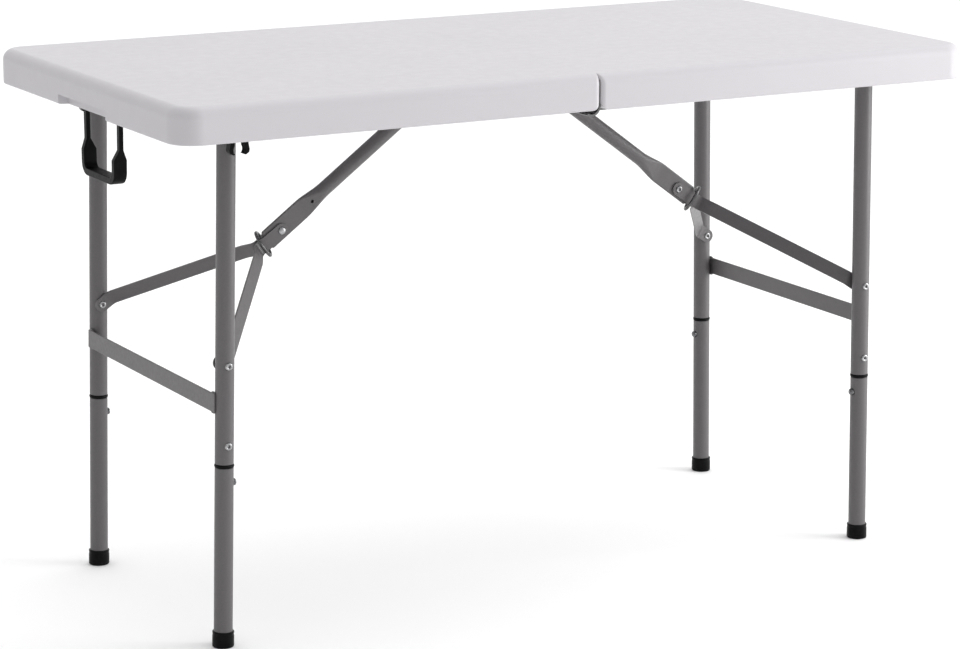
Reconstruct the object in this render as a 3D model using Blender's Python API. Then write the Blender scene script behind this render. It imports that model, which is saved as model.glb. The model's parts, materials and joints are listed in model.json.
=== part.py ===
"""Centre-folding table: two moulded top halves on two folding leg frames.

Metres, +Z up. The origin is on the floor under the middle of the top, with X along the length.
The two ends of the table are the same assembly turned half a turn about Z, so each end is built
once in an end frame whose +X points outwards, and its pieces are placed for both ends.
"""

import math

import bmesh
import bpy
from mathutils import Matrix, Vector

# Overall size
LENGTH = 1.22
WIDTH = 0.61
HEIGHT = 0.735
GAP = 0.0003

# Moulded top
TOP_DEPTH = 0.048
DECK = 0.014
RIM = 0.022
CORNER_RADIUS = 0.036
SEAM_GAP = 0.0006
SEAM_CORNER = 0.0125
SEAM_SIDE_CORNER = 0.008
SEAM_RECESS = 0.0013
SEAM_RECESS_Y = 0.2625
SEAM_RECESS_TOP = 0.7275
TOP_EDGE_DROP = 0.0155
TOP_EDGE_INSET = 0.0150
BOTTOM_EDGE = 0.0025
POCKET_CORNER = 0.018
CHANNEL_DEPTH = 0.005
CHANNEL_HALF_WIDTH = 0.032
NOTCH_OUTER_HALF = 0.0795
NOTCH_INNER_HALF = 0.0745
NOTCH_SIZE = 0.013

# Leg frames: the tubes lean outwards, and turn about the pivot tube
LEG_X = 0.498
LEG_Y = 0.207
LEAN = math.atan(0.0205)
PIVOT_Z = 0.7075
TUBE_RADIUS = 0.0125
TUBE_WALL = 0.0012
PIVOT_TUBE_RADIUS = 0.008
PIVOT_TUBE_HALF = 0.2665
PIVOT_END = 0.0131
COLLAR_Z = 0.246
COLLAR_HEIGHT = 0.0044
COLLAR_RADIUS = 0.0132
STUB_RADIUS = TUBE_RADIUS - TUBE_WALL - GAP
STUB_ABOVE = 0.070
STUB_BELOW = 0.075
STUB_RIVET_ABOVE = 0.0277
BUTTON_BELOW = 0.0238
BUTTON_RADIUS = 0.005
BUTTON_PROUD = 0.0042
CROSSBAR_Z = 0.330
CROSSBAR_HEIGHT = 0.025
BAR_THICKNESS = 0.0025
CROSSBAR_OVERHANG = 0.0005
FOOT_RADIUS = 0.0145
FOOT_HEIGHT = 0.021
RIVET_HEAD = 0.0052
RIVET_DOME = 0.0020
RIVET_SHANK = 0.0028

# Side brace linkage, seen from the side: B under the top, E the elbow, C on the leg
BRACE_X = 0.045
ELBOW_X = 0.3224
ELBOW_Z = 0.5026
ARM_PIVOT_Z = 0.380
BRACE_RADIUS = 0.010
PLATE_WIDTH = 0.030
PLATE_THICKNESS = 0.004
TONGUE_WIDTH = 0.018
ELBOW_DROP = 0.002
ARM_WIDTH = 0.020
ARM_THICKNESS = 0.0025
ELBOW_HOLE = 0.0043
RING_PAST_ELBOW = 0.035
RING_WIRE = 0.00225
RING_HALF_HEIGHT = 0.0187
RING_HALF_WIDTH = 0.0132

# Steel rails under the long edges
RAIL_Y = 0.262
RAIL_SHEET = 0.002
RAIL_BOTTOM = 0.6885
RAIL_FLANGE = 0.019
RAIL_END = 0.560
HINGE_X = -0.004
HINGE_Z = HEIGHT - TOP_DEPTH
HINGE_EYE = 0.0075
STRAP_FACE = 0.0008
STRAP_BACK = -0.0010
STRAP_CURL_X = -0.0109
STRAP_CURL_Z = 0.692
STRAP_CURL_OUTER = 0.0130
STRAP_CURL_INNER = 0.0102
STRAP_TOP = 0.7268
PIN_RADIUS = 0.003

# Carry handle and closing clip, on the left half
HANDLE_X = -0.5795
HANDLE_Z = 0.6835
HANDLE_THICKNESS = 0.0095
HANDLE_ARM_WIDTH = 0.006
HANDLE_GRIP_WIDTH = 0.0185
HANDLE_BOTTOM = 0.5955
CLIP_Y = -0.240
CLIP_BOTTOM = 0.660

DECK_BOTTOM = HEIGHT - DECK
RAIL_TOP = DECK_BOTTOM - GAP
UP = Vector((0.0, 0.0, 1.0))


def leg_x(height):
    """Outward position of a leg's axis at a height above the floor."""
    return LEG_X + math.tan(LEAN) * (HEIGHT - height)


def along_leg(height):
    """Distance down the leg from its pivot to a height above the floor."""
    return (PIVOT_Z - height) / math.cos(LEAN)


PIVOT_X = leg_x(PIVOT_Z)
BRACE_PIVOT = Vector((BRACE_X, 0.0, PIVOT_Z))
ELBOW = Vector((ELBOW_X, 0.0, ELBOW_Z))
ARM_PIVOT = Vector((leg_x(ARM_PIVOT_Z), 0.0, ARM_PIVOT_Z))


# ---------------------------------------------------------------- scene helpers


def clear_scene():
    for item in list(bpy.data.objects):
        bpy.data.objects.remove(item, do_unlink=True)


def make_material(name, colour, roughness, metallic):
    material = bpy.data.materials.new(name)
    material.use_nodes = True
    shader = material.node_tree.nodes["Principled BSDF"]
    shader.inputs["Base Color"].default_value = (*colour, 1.0)
    shader.inputs["Roughness"].default_value = roughness
    shader.inputs["Metallic"].default_value = metallic
    return material


def add_object(name, data, material, parent=None, matrix=None):
    item = bpy.data.objects.new(name, data)
    bpy.context.scene.collection.objects.link(item)
    if data is not None and material is not None and not data.materials:
        data.materials.append(material)
    item.parent = parent
    item.matrix_basis = matrix or Matrix.Identity(4)
    return item


def frame(name, parent, matrix):
    """An empty on a joint's axis, which carries the pieces that move together."""
    item = add_object(name, None, None, parent, matrix)
    item.empty_display_size = 0.03
    return item


def finish_mesh(name, shape, smooth_angle=35):
    """Turn a bmesh into a mesh with outward faces, smooth except over sharp edges."""
    bmesh.ops.recalc_face_normals(shape, faces=shape.faces[:])
    mesh = bpy.data.meshes.new(name)
    shape.to_mesh(mesh)
    shape.free()
    mesh.shade_smooth()
    mesh.set_sharp_from_angle(angle=math.radians(smooth_angle))
    return mesh


def boolean(item, other, operation="DIFFERENCE"):
    modifier = item.modifiers.new(operation.lower(), "BOOLEAN")
    modifier.operation = operation
    modifier.solver = "EXACT"
    modifier.object = other


def make_cutter(name, mesh, parent=None, matrix=None):
    item = add_object(name, mesh, None, parent, matrix)
    item.hide_render = True
    item.display_type = "WIRE"
    return item


# ---------------------------------------------------------------- shape helpers


def box_mesh(name, low, high):
    shape = bmesh.new()
    low = Vector(low)
    high = Vector(high)
    size = high - low
    matrix = Matrix.Translation((low + high) / 2) @ Matrix.Diagonal((*size, 1.0))
    bmesh.ops.create_cube(shape, size=1.0, matrix=matrix)
    return finish_mesh(name, shape)


def prism(name, outline, low, high, plane="XY"):
    """Extrude a closed outline. XY extrudes along Z, XZ along Y and YZ along X."""
    place = {
        "XY": lambda a, b, c: (a, b, c),
        "XZ": lambda a, b, c: (a, c, b),
        "YZ": lambda a, b, c: (c, a, b),
    }[plane]
    shape = bmesh.new()
    base = shape.faces.new([shape.verts.new(place(a, b, low)) for a, b in outline])
    made = bmesh.ops.extrude_face_region(shape, geom=[base])
    moved = [item for item in made["geom"] if isinstance(item, bmesh.types.BMVert)]
    bmesh.ops.translate(shape, verts=moved, vec=Vector(place(0.0, 0.0, high - low)))
    return finish_mesh(name, shape)


def arc(centre, radius, start, end, steps):
    """Points along an arc, with angles in degrees."""
    angles = [math.radians(start + (end - start) * i / steps) for i in range(steps + 1)]
    return [(centre[0] + radius * math.cos(a), centre[1] + radius * math.sin(a)) for a in angles]


def rounded_outline(low, high, radii, steps=6):
    """A rectangle whose four corners have their own radii, anticlockwise from low, low."""
    (x0, y0), (x1, y1) = low, high
    corners = (
        ((x0 + radii[0], y0 + radii[0]), radii[0], 180),
        ((x1 - radii[1], y0 + radii[1]), radii[1], 270),
        ((x1 - radii[2], y1 - radii[2]), radii[2], 0),
        ((x0 + radii[3], y1 - radii[3]), radii[3], 90),
    )
    points = []
    for centre, radius, start in corners:
        if radius:
            points += arc(centre, radius, start, start + 90, steps)
        else:
            points.append(centre)
    return points


def lathe(name, profile, axis="Z", steps=24, closed=True):
    """Turn a profile of (radius, height) points into a solid about Z, or lay it along X or Y."""
    shape = bmesh.new()
    points = [shape.verts.new((radius, 0.0, height)) for radius, height in profile]
    edges = [shape.edges.new(pair) for pair in zip(points, points[1:])]
    if closed:
        edges.append(shape.edges.new((points[-1], points[0])))
    bmesh.ops.spin(
        shape, geom=points + edges, cent=(0, 0, 0), axis=UP, angle=2 * math.pi, steps=steps
    )
    bmesh.ops.remove_doubles(shape, verts=shape.verts[:], dist=1e-6)
    if axis == "X":
        bmesh.ops.rotate(shape, verts=shape.verts[:], matrix=Matrix.Rotation(math.pi / 2, 3, "Y"))
    elif axis == "Y":
        bmesh.ops.rotate(shape, verts=shape.verts[:], matrix=Matrix.Rotation(-math.pi / 2, 3, "X"))
    return finish_mesh(name, shape)


def rod(name, radius, low, high, axis="Z", steps=24):
    return lathe(name, [(0, low), (radius, low), (radius, high), (0, high)], axis, steps, False)


def tube(name, outer, inner, low, high, axis="Z", steps=24):
    return lathe(name, [(inner, low), (outer, low), (outer, high), (inner, high)], axis, steps)


def loft(name, sections):
    """Skin a run of equal-length point loops and cap both ends."""
    shape = bmesh.new()
    loops = [[shape.verts.new(point) for point in section] for section in sections]
    count = len(loops[0])
    for first, second in zip(loops, loops[1:]):
        for i in range(count):
            j = (i + 1) % count
            shape.faces.new((first[i], first[j], second[j], second[i]))
    shape.faces.new(loops[0])
    shape.faces.new(loops[-1])
    return finish_mesh(name, shape)


# ---------------------------------------------------------------- moulded top


def top_outline(inset):
    """Outline of a half, drawn in from its three outer sides but never from the seam."""
    x0 = SEAM_GAP / 2
    x1 = LENGTH / 2 - inset
    y1 = WIDTH / 2 - inset
    corner = CORNER_RADIUS - inset
    share = 1 - inset / (TOP_EDGE_INSET * 1.08)
    reach = SEAM_SIDE_CORNER * share
    depth = SEAM_SIDE_CORNER * share
    points = []
    for i in range(6):
        angle = math.radians(18 * i)
        across_seam = (1 - math.cos(angle)) * reach
        points.append((x0 + across_seam, -y1 + depth - depth * math.sin(angle)))
    points += arc((x1 - corner, -y1 + corner), corner, 270, 360, 9)
    points += arc((x1 - corner, y1 - corner), corner, 0, 90, 9)
    points += [(x, -y) for x, y in reversed(points[:6])]
    return points


def top_half(name, side, material, parent, matrix):
    """One half of the top in its end frame: a slab with a rim, open along the seam below."""
    half_width = WIDTH / 2
    levels = []
    for i in range(3):
        angle = math.radians(45 * i)
        rise = BOTTOM_EDGE * (1 - math.cos(angle))
        levels.append((HEIGHT - TOP_DEPTH + rise, BOTTOM_EDGE * (1 - math.sin(angle))))
    for i in range(7):
        angle = math.radians(15 * i)
        rise = TOP_EDGE_DROP * (1 - math.sin(angle))
        levels.append((HEIGHT - rise, TOP_EDGE_INSET * (1 - math.cos(angle))))
    sections = [[(x, y, z) for x, y in top_outline(inset)] for z, inset in levels]
    item = add_object(name, loft(name, sections), material, parent, matrix)

    pocket_radii = (0, POCKET_CORNER, POCKET_CORNER, 0)
    pocket = rounded_outline(
        (-0.01, -half_width + RIM), (LENGTH / 2 - RIM, half_width - RIM), pocket_radii
    )
    pocket_mesh = prism(name + "_pocket", pocket, HEIGHT - TOP_DEPTH - 0.01, DECK_BOTTOM)
    boolean(item, make_cutter(name + "_pocket_cutter", pocket_mesh, parent, matrix))

    channel_mesh = box_mesh(
        name + "_channel",
        (BRACE_X - 0.025, -CHANNEL_HALF_WIDTH, DECK_BOTTOM - 0.01),
        (ELBOW_X + 0.13, CHANNEL_HALF_WIDTH, DECK_BOTTOM + CHANNEL_DEPTH),
    )
    boolean(item, make_cutter(name + "_channel_cutter", channel_mesh, parent, matrix))

    # Both ends of the seam are set back to make room for the hinge straps
    z0 = HEIGHT - TOP_DEPTH
    for sign, row in ((-1, "front"), (1, "rear")):
        low, high = across(sign, SEAM_RECESS_Y, half_width + 0.01)
        recess = box_mesh(
            f"{name}_{row}_recess", (-0.01, low, z0 - 0.01), (SEAM_RECESS, high, SEAM_RECESS_TOP)
        )
        boolean(item, make_cutter(f"{name}_{row}_recess_cutter", recess, parent, matrix))

    # The rim's two lower corners at the seam are rounded
    x0 = SEAM_RECESS
    round_centre = (x0 + SEAM_CORNER, z0 + SEAM_CORNER)
    corner = [(x0 - 0.01, z0 - 0.01), (x0 + SEAM_CORNER, z0 - 0.01)]
    corner += arc(round_centre, SEAM_CORNER, 270, 180, 6)
    corner.append((x0 - 0.01, z0 + SEAM_CORNER))
    corner_mesh = prism(name + "_corner", corner, -half_width - 0.01, half_width + 0.01, "XZ")
    boolean(item, make_cutter(name + "_corner_cutter", corner_mesh, parent, matrix))

    if side == "left":
        # Finger recess in the lower edge of the end, with sloping ends
        x1 = LENGTH / 2
        notch = [
            (x1 + 0.01, -NOTCH_OUTER_HALF),
            (x1, -NOTCH_OUTER_HALF),
            (x1 - NOTCH_SIZE, -NOTCH_INNER_HALF),
            (x1 - NOTCH_SIZE, NOTCH_INNER_HALF),
            (x1, NOTCH_OUTER_HALF),
            (x1 + 0.01, NOTCH_OUTER_HALF),
        ]
        notch_mesh = prism(name + "_notch", notch, z0 - 0.01, z0 + NOTCH_SIZE)
        boolean(item, make_cutter(name + "_notch_cutter", notch_mesh, parent, matrix))
    return item


# ---------------------------------------------------------------- steel rails and centre hinge


def rail_outline(sign):
    """Web and outward flange of a rail, seen along the table."""
    web = RAIL_Y
    sheet = RAIL_SHEET
    points = [
        (web, RAIL_BOTTOM),
        (web + sheet, RAIL_BOTTOM),
        (web + sheet, RAIL_TOP - sheet),
        (web + RAIL_FLANGE, RAIL_TOP - sheet),
        (web + RAIL_FLANGE, RAIL_TOP),
        (web, RAIL_TOP),
    ]
    return [(sign * y, z) for y, z in points]


def across(sign, near, far):
    """Low and high Y of a span given as distances from the middle line."""
    return (near, far) if sign > 0 else (-far, -near)


def left_rail(name, sign, material, parent):
    """The fixed rail: its seam end carries the hinge eye, a strap in the seam and its hook."""
    mesh = prism(name, rail_outline(sign), -RAIL_END, HINGE_X - HINGE_EYE, "YZ")
    item = add_object(name, mesh, material, parent)
    low, high = across(sign, RAIL_Y, RAIL_Y + RAIL_SHEET)
    eye = arc((HINGE_X, HINGE_Z), HINGE_EYE, -90, 90, 10)
    eye += [(HINGE_X - 0.016, HINGE_Z + HINGE_EYE), (HINGE_X - 0.016, HINGE_Z - HINGE_EYE)]
    eye_mesh = prism(name + "_eye", eye, low, high, "XZ")
    boolean(item, make_cutter(name + "_eye_shape", eye_mesh, parent), "UNION")

    # Strap hanging in the seam from the flange, hooked under the rounded corner of the top
    low, high = across(sign, 0.268, 0.300)
    centre = (STRAP_CURL_X, STRAP_CURL_Z)
    start = math.degrees(math.acos((STRAP_FACE - STRAP_CURL_X) / STRAP_CURL_OUTER))
    end = math.degrees(math.acos((STRAP_BACK - STRAP_CURL_X) / STRAP_CURL_INNER))
    strap = [(STRAP_FACE, STRAP_TOP)]
    strap += arc(centre, STRAP_CURL_OUTER, start, -125, 13)
    strap += arc(centre, STRAP_CURL_INNER, -125, end, 13)
    strap.append((STRAP_BACK, STRAP_TOP))
    strap_mesh = prism(name + "_strap", strap, low, high, "XZ")
    flange_low, flange_high = across(sign, RAIL_Y + 0.0005, RAIL_Y + RAIL_FLANGE)
    tie_mesh = box_mesh(
        name + "_tie",
        (HINGE_X - HINGE_EYE - 0.004, flange_low, RAIL_TOP - RAIL_SHEET),
        (0.0, flange_high, RAIL_TOP),
    )
    boolean(item, make_cutter(name + "_tie_shape", tie_mesh, parent), "UNION")
    boolean(item, make_cutter(name + "_strap_shape", strap_mesh, parent), "UNION")
    drill_rail(item, name, sign, -PIVOT_X, parent)
    drill_hinge(item, name, sign, parent)
    return item


def right_rail(name, sign, material, parent, origin):
    """The moving rail: a tongue beside the fixed rail's eye turns on the hinge pin."""
    start = 0.018
    shift = Matrix.Translation(-origin)
    mesh = prism(name, rail_outline(sign), start, RAIL_END, "YZ")
    item = add_object(name, mesh, material, parent, shift)
    inner = RAIL_Y - GAP - RAIL_SHEET
    tongue = arc((HINGE_X, HINGE_Z), 0.0075, 90, 270, 10)
    tongue += [(0.060, HINGE_Z - 0.0075), (0.060, HINGE_Z + 0.0075)]
    low, high = across(sign, inner, RAIL_Y - GAP)
    tongue_mesh = prism(name + "_tongue", tongue, low, high, "XZ")
    low, high = across(sign, inner + 0.001, RAIL_Y + 0.001)
    joggle_mesh = box_mesh(
        name + "_joggle", (start + 0.001, low, RAIL_BOTTOM), (0.055, high, HINGE_Z + 0.0075)
    )
    boolean(item, make_cutter(name + "_joggle_shape", joggle_mesh, parent, shift), "UNION")
    boolean(item, make_cutter(name + "_tongue_shape", tongue_mesh, parent, shift), "UNION")
    drill_rail(item, name, sign, PIVOT_X, parent, shift)
    drill_hinge(item, name, sign, parent, shift)
    return item


def drill_rail(item, name, sign, x, parent, shift=None):
    """Bearing hole for the leg frame's pivot tube."""
    hole = rod(name + "_bearing", PIVOT_TUBE_RADIUS + GAP, 0.25, 0.28, "Y", 28)
    place = Matrix.Translation((x, 0.0, PIVOT_Z))
    if sign < 0:
        place = place @ Matrix.Rotation(math.pi, 4, "Z")
    place = (shift or Matrix.Identity(4)) @ place
    boolean(item, make_cutter(name + "_bearing_cutter", hole, parent, place))


def drill_hinge(item, name, sign, parent, shift=None):
    hole = rod(name + "_hinge", PIN_RADIUS + GAP, 0.25, 0.2655, "Y", 20)
    place = Matrix.Translation((HINGE_X, 0.0, HINGE_Z))
    if sign < 0:
        place = place @ Matrix.Rotation(math.pi, 4, "Z")
    place = (shift or Matrix.Identity(4)) @ place
    boolean(item, make_cutter(name + "_hinge_cutter", hole, parent, place))


def hinge_pin(name, sign, material, parent):
    """Headed pin through the eye and the tongue."""
    inner = RAIL_Y - GAP - RAIL_SHEET - GAP
    outer = RAIL_Y + RAIL_SHEET + GAP
    head = 0.0045
    profile = [
        (0, inner - 0.002),
        (head, inner - 0.002),
        (head, inner),
        (PIN_RADIUS, inner),
        (PIN_RADIUS, outer),
        (head, outer),
        (head, outer + 0.0018),
        (0, outer + 0.0018),
    ]
    mesh = lathe(name, profile, "Y", 20, False)
    place = Matrix.Translation((HINGE_X, 0.0, HINGE_Z))
    if sign < 0:
        place = place @ Matrix.Rotation(math.pi, 4, "Z")
    return add_object(name, mesh, material, parent, place)


# ---------------------------------------------------------------- leg frame


def side_hole(item, name, radius, distance, direction, parent):
    """Drill a leg tube from its axis outwards, or right through when direction is both."""
    axis = "Y" if direction in ("outer", "both") else "X"
    low = -0.02 if direction == "both" else 0.0
    hole = rod(name, radius, low, 0.02, axis, 20)
    place = Matrix.Translation((0.0, 0.0, -distance))
    if direction == "inward":
        place = place @ Matrix.Rotation(math.pi, 4, "Z")
    boolean(item, make_cutter(name + "_cutter", hole, parent, place))


def upper_tube(name, material, parent):
    """Upper leg, its top end rounded about the pivot so that it turns clear of the deck."""
    inner = TUBE_RADIUS - TUBE_WALL
    bottom = along_leg(COLLAR_Z) - COLLAR_HEIGHT / 2 - GAP
    mesh = tube(name, TUBE_RADIUS, inner, -bottom, PIVOT_END, "Z", 28)
    for vert in mesh.vertices:
        if vert.co.z > 0:
            vert.co.z = math.sqrt(PIVOT_END**2 - vert.co.x**2)
    item = add_object(name, mesh, material, parent)
    side_hole(item, name + "_pivot", PIVOT_TUBE_RADIUS + GAP, 0.0, "both", parent)
    side_hole(item, name + "_arm", RIVET_SHANK + GAP, along_leg(ARM_PIVOT_Z), "both", parent)
    rivet = along_leg(COLLAR_Z) - STUB_RIVET_ABOVE
    side_hole(item, name + "_rivet", RIVET_SHANK + GAP, rivet, "outer", parent)
    return item


def inner_stub(name, material, parent):
    """Joining stub inside the two tubes, slotted below for the snap button."""
    inner = STUB_RADIUS - TUBE_WALL
    middle = along_leg(COLLAR_Z)
    mesh = tube(name, STUB_RADIUS, inner, -middle - STUB_BELOW, -middle + STUB_ABOVE, "Z", 24)
    item = add_object(name, mesh, material, parent)
    side_hole(item, name + "_rivet", RIVET_SHANK + GAP, middle - STUB_RIVET_ABOVE, "outer", parent)
    top = -middle - BUTTON_BELOW
    reach = BUTTON_RADIUS + GAP
    slot = arc((0.0, top), reach, 0, 180, 10)
    slot += [(-reach, -middle - STUB_BELOW - 0.01), (reach, -middle - STUB_BELOW - 0.01)]
    slot_mesh = prism(name + "_slot", slot, -0.02, 0.0, "YZ")
    boolean(item, make_cutter(name + "_slot_cutter", slot_mesh, parent))
    return item


def collar(name, material, parent):
    mesh = lathe(
        name,
        [
            (STUB_RADIUS + GAP, -COLLAR_HEIGHT / 2),
            (COLLAR_RADIUS - 0.0008, -COLLAR_HEIGHT / 2),
            (COLLAR_RADIUS, -COLLAR_HEIGHT / 2 + 0.0008),
            (COLLAR_RADIUS, COLLAR_HEIGHT / 2 - 0.0008),
            (COLLAR_RADIUS - 0.0008, COLLAR_HEIGHT / 2),
            (STUB_RADIUS + GAP, COLLAR_HEIGHT / 2),
        ],
    )
    return add_object(name, mesh, material, parent, Matrix.Translation(-UP * along_leg(COLLAR_Z)))


def rivet_profile(start, end, shank, head, dome):
    """A shank from start to end, and a domed head beyond the end."""
    return [
        (0, start),
        (shank, start),
        (shank, end),
        (head, end),
        (head, end + dome * 0.3),
        (head * 0.72, end + dome * 0.8),
        (head * 0.35, end + dome),
        (0, end + dome),
    ]


def stub_rivet(name, material, parent):
    """Blind rivet from outside through the upper tube into the stub."""
    profile = rivet_profile(0.0088, TUBE_RADIUS + GAP, RIVET_SHANK, RIVET_HEAD, RIVET_DOME)
    mesh = lathe(name, profile, "Y", 20, False)
    place = Matrix.Translation(-UP * (along_leg(COLLAR_Z) - STUB_RIVET_ABOVE))
    return add_object(name, mesh, material, parent, place)


def arm_rivet(name, material, parent):
    """Rivet through the leg at the arm's pivot, headed outside and flush inside."""
    start = -TUBE_RADIUS + 0.0004
    profile = rivet_profile(start, TUBE_RADIUS + GAP, RIVET_SHANK, RIVET_HEAD, RIVET_DOME)
    mesh = lathe(name, profile, "Y", 20, False)
    return add_object(name, mesh, material, parent, Matrix.Translation(-UP * along_leg(ARM_PIVOT_Z)))


def pivot_tube(name, material, parent):
    inner = PIVOT_TUBE_RADIUS - 0.0015
    mesh = tube(name, PIVOT_TUBE_RADIUS, inner, -PIVOT_TUBE_HALF, PIVOT_TUBE_HALF, "Y", 24)
    return add_object(name, mesh, material, parent)


def crossbar(name, material, parent):
    """Flat bar across the outside of both legs, which it meets at its two ends."""
    inner = TUBE_RADIUS + GAP
    reach = LEG_Y + CROSSBAR_OVERHANG
    half = CROSSBAR_HEIGHT / 2
    mesh = box_mesh(name, (inner, -reach, -half), (inner + BAR_THICKNESS, reach, half))
    return add_object(name, mesh, material, parent, Matrix.Translation(-UP * along_leg(CROSSBAR_Z)))


def extension_tube(name, material, parent):
    """Lower leg, in the frame of its slide at the collar."""
    inner = TUBE_RADIUS - TUBE_WALL
    top = -COLLAR_HEIGHT / 2 - GAP
    bottom = along_leg(COLLAR_Z) - along_leg(0.004)
    item = add_object(name, tube(name, TUBE_RADIUS, inner, bottom, top, "Z", 28), material, parent)
    side_hole(item, name + "_button", BUTTON_RADIUS + GAP, BUTTON_BELOW, "inward", parent)
    return item


def foot_cap(name, material, parent):
    """Pushed-on cap whose sole is level although the leg leans."""
    bore = TUBE_RADIUS + GAP
    offset = along_leg(COLLAR_Z)
    top = offset - along_leg(FOOT_HEIGHT)
    seat = offset - along_leg(0.004) - GAP
    sole = offset - along_leg(0.0)
    profile = [
        (0, seat),
        (bore, seat),
        (bore, top),
        (FOOT_RADIUS - 0.001, top),
        (FOOT_RADIUS, top - 0.001),
        (FOOT_RADIUS, sole + 0.0016),
        (FOOT_RADIUS - 0.0014, sole),
        (0, sole),
    ]
    mesh = lathe(name, profile, "Z", 28, False)
    for vert in mesh.vertices:
        if vert.co.z < sole + 0.0005:
            vert.co.z = sole - vert.co.x * math.tan(LEAN)
    return add_object(name, mesh, material, parent)


def snap_button(name, material, parent):
    """Domed button with a retaining flange, along -X from its slide's own frame."""
    face = TUBE_RADIUS + BUTTON_PROUD
    profile = [
        (0, 0.0065),
        (0.0058, 0.0065),
        (0.0058, 0.0073),
        (BUTTON_RADIUS, 0.0073),
        (BUTTON_RADIUS, face - 0.0022),
        (BUTTON_RADIUS * 0.86, face - 0.0009),
        (BUTTON_RADIUS * 0.5, face - 0.0002),
        (0, face),
    ]
    mesh = lathe(name, profile, "X", 20, False)
    return add_object(name, mesh, material, parent, Matrix.Rotation(math.pi, 4, "Z"))


# ---------------------------------------------------------------- brace linkage


def brace_direction():
    """Angle below the horizontal of the brace tube, whose axis passes just above the elbow."""
    run = ELBOW - BRACE_PIVOT
    drop = math.atan2(-run.z, run.x)
    return drop - math.asin(ELBOW_DROP / run.length)


BRACE_ANGLE = brace_direction()
BRACE_REACH = math.sqrt((ELBOW - BRACE_PIVOT).length_squared - ELBOW_DROP**2)
ARM_ANGLE = math.atan2(ELBOW.z - ARM_PIVOT.z, ARM_PIVOT.x - ELBOW.x)
ARM_REACH = (ARM_PIVOT - ELBOW).length


def brace_section(x, half_y, half_z, shift, steps=24):
    """Round, flattened or in between: a stadium whose ends keep the smaller radius."""
    radius = min(half_y, half_z)
    points = []
    for i in range(steps):
        angle = 2 * math.pi * (i + 0.5) / steps
        y = radius * math.cos(angle)
        z = radius * math.sin(angle)
        z += math.copysign(half_z - radius, z)
        points.append((x, y, z + shift))
    return points


def brace_tube(name, material, parent):
    """Tube along +X with a cross rod at its pivot, flattened into the elbow plate."""
    flat_y = PLATE_THICKNESS / 2
    flat_z = PLATE_WIDTH / 2
    start = BRACE_REACH - 0.085
    length = 0.045
    sections = [brace_section(0.003, BRACE_RADIUS, BRACE_RADIUS, 0.0)]
    for i in range(9):
        t = i / 8
        blend = t * t * (3 - 2 * t)
        half_y = BRACE_RADIUS + (flat_y - BRACE_RADIUS) * blend
        half_z = BRACE_RADIUS + (flat_z - BRACE_RADIUS) * blend
        sections.append(brace_section(start + length * t, half_y, half_z, 0.0))
    tongue = TONGUE_WIDTH / 2
    for x, half_z, shift in (
        (0.024, flat_z, 0.0),
        (0.030, tongue, -ELBOW_DROP),
        (0.0385, tongue, -ELBOW_DROP),
    ):
        sections.append(brace_section(BRACE_REACH + x, flat_y, half_z, shift))
    item = add_object(name, loft(name, sections), material, parent)
    cross = rod(name + "_cross", 0.006, -0.034, 0.034, "Y", 20)
    boolean(item, make_cutter(name + "_cross_shape", cross, parent), "UNION")
    # The elbow's hole goes right through, the vent only through the rear wall of the flattened tube
    for label, radius, low, x, z in (
        ("elbow", ELBOW_HOLE, -0.03, BRACE_REACH, -ELBOW_DROP),
        ("vent", 0.0024, 0.0, BRACE_REACH - 0.059, 0.0),
    ):
        hole = rod(f"{name}_{label}", radius, low, 0.03, "Y", 20)
        place = Matrix.Translation((x, 0.0, z))
        boolean(item, make_cutter(f"{name}_{label}_cutter", hole, parent, place))
    return item


def brace_bracket(name, material, parent, matrix):
    """Channel under the deck whose two ears hold the brace's cross rod."""
    base_bottom = RAIL_TOP - 0.0022
    base = box_mesh(
        name,
        (BRACE_X - 0.016, -0.042, base_bottom),
        (BRACE_X + 0.016, 0.042, RAIL_TOP),
    )
    item = add_object(name, base, material, parent, matrix)
    for sign in (-1, 1):
        low, high = across(sign, 0.0240, 0.0265)
        ear = arc((BRACE_X, PIVOT_Z), 0.010, 180, 360, 10)
        ear += [(BRACE_X + 0.010, RAIL_TOP - 0.001), (BRACE_X - 0.010, RAIL_TOP - 0.001)]
        label = "front" if sign < 0 else "rear"
        ear_mesh = prism(f"{name}_{label}_ear", ear, low, high, "XZ")
        boolean(item, make_cutter(f"{name}_{label}_ear_shape", ear_mesh, parent, matrix), "UNION")
    hole = rod(name + "_hole", 0.006 + GAP, -0.05, 0.05, "Y", 20)
    place = matrix @ Matrix.Translation((BRACE_X, 0.0, PIVOT_Z))
    boolean(item, make_cutter(name + "_hole_cutter", hole, parent, place))
    return item


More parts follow.
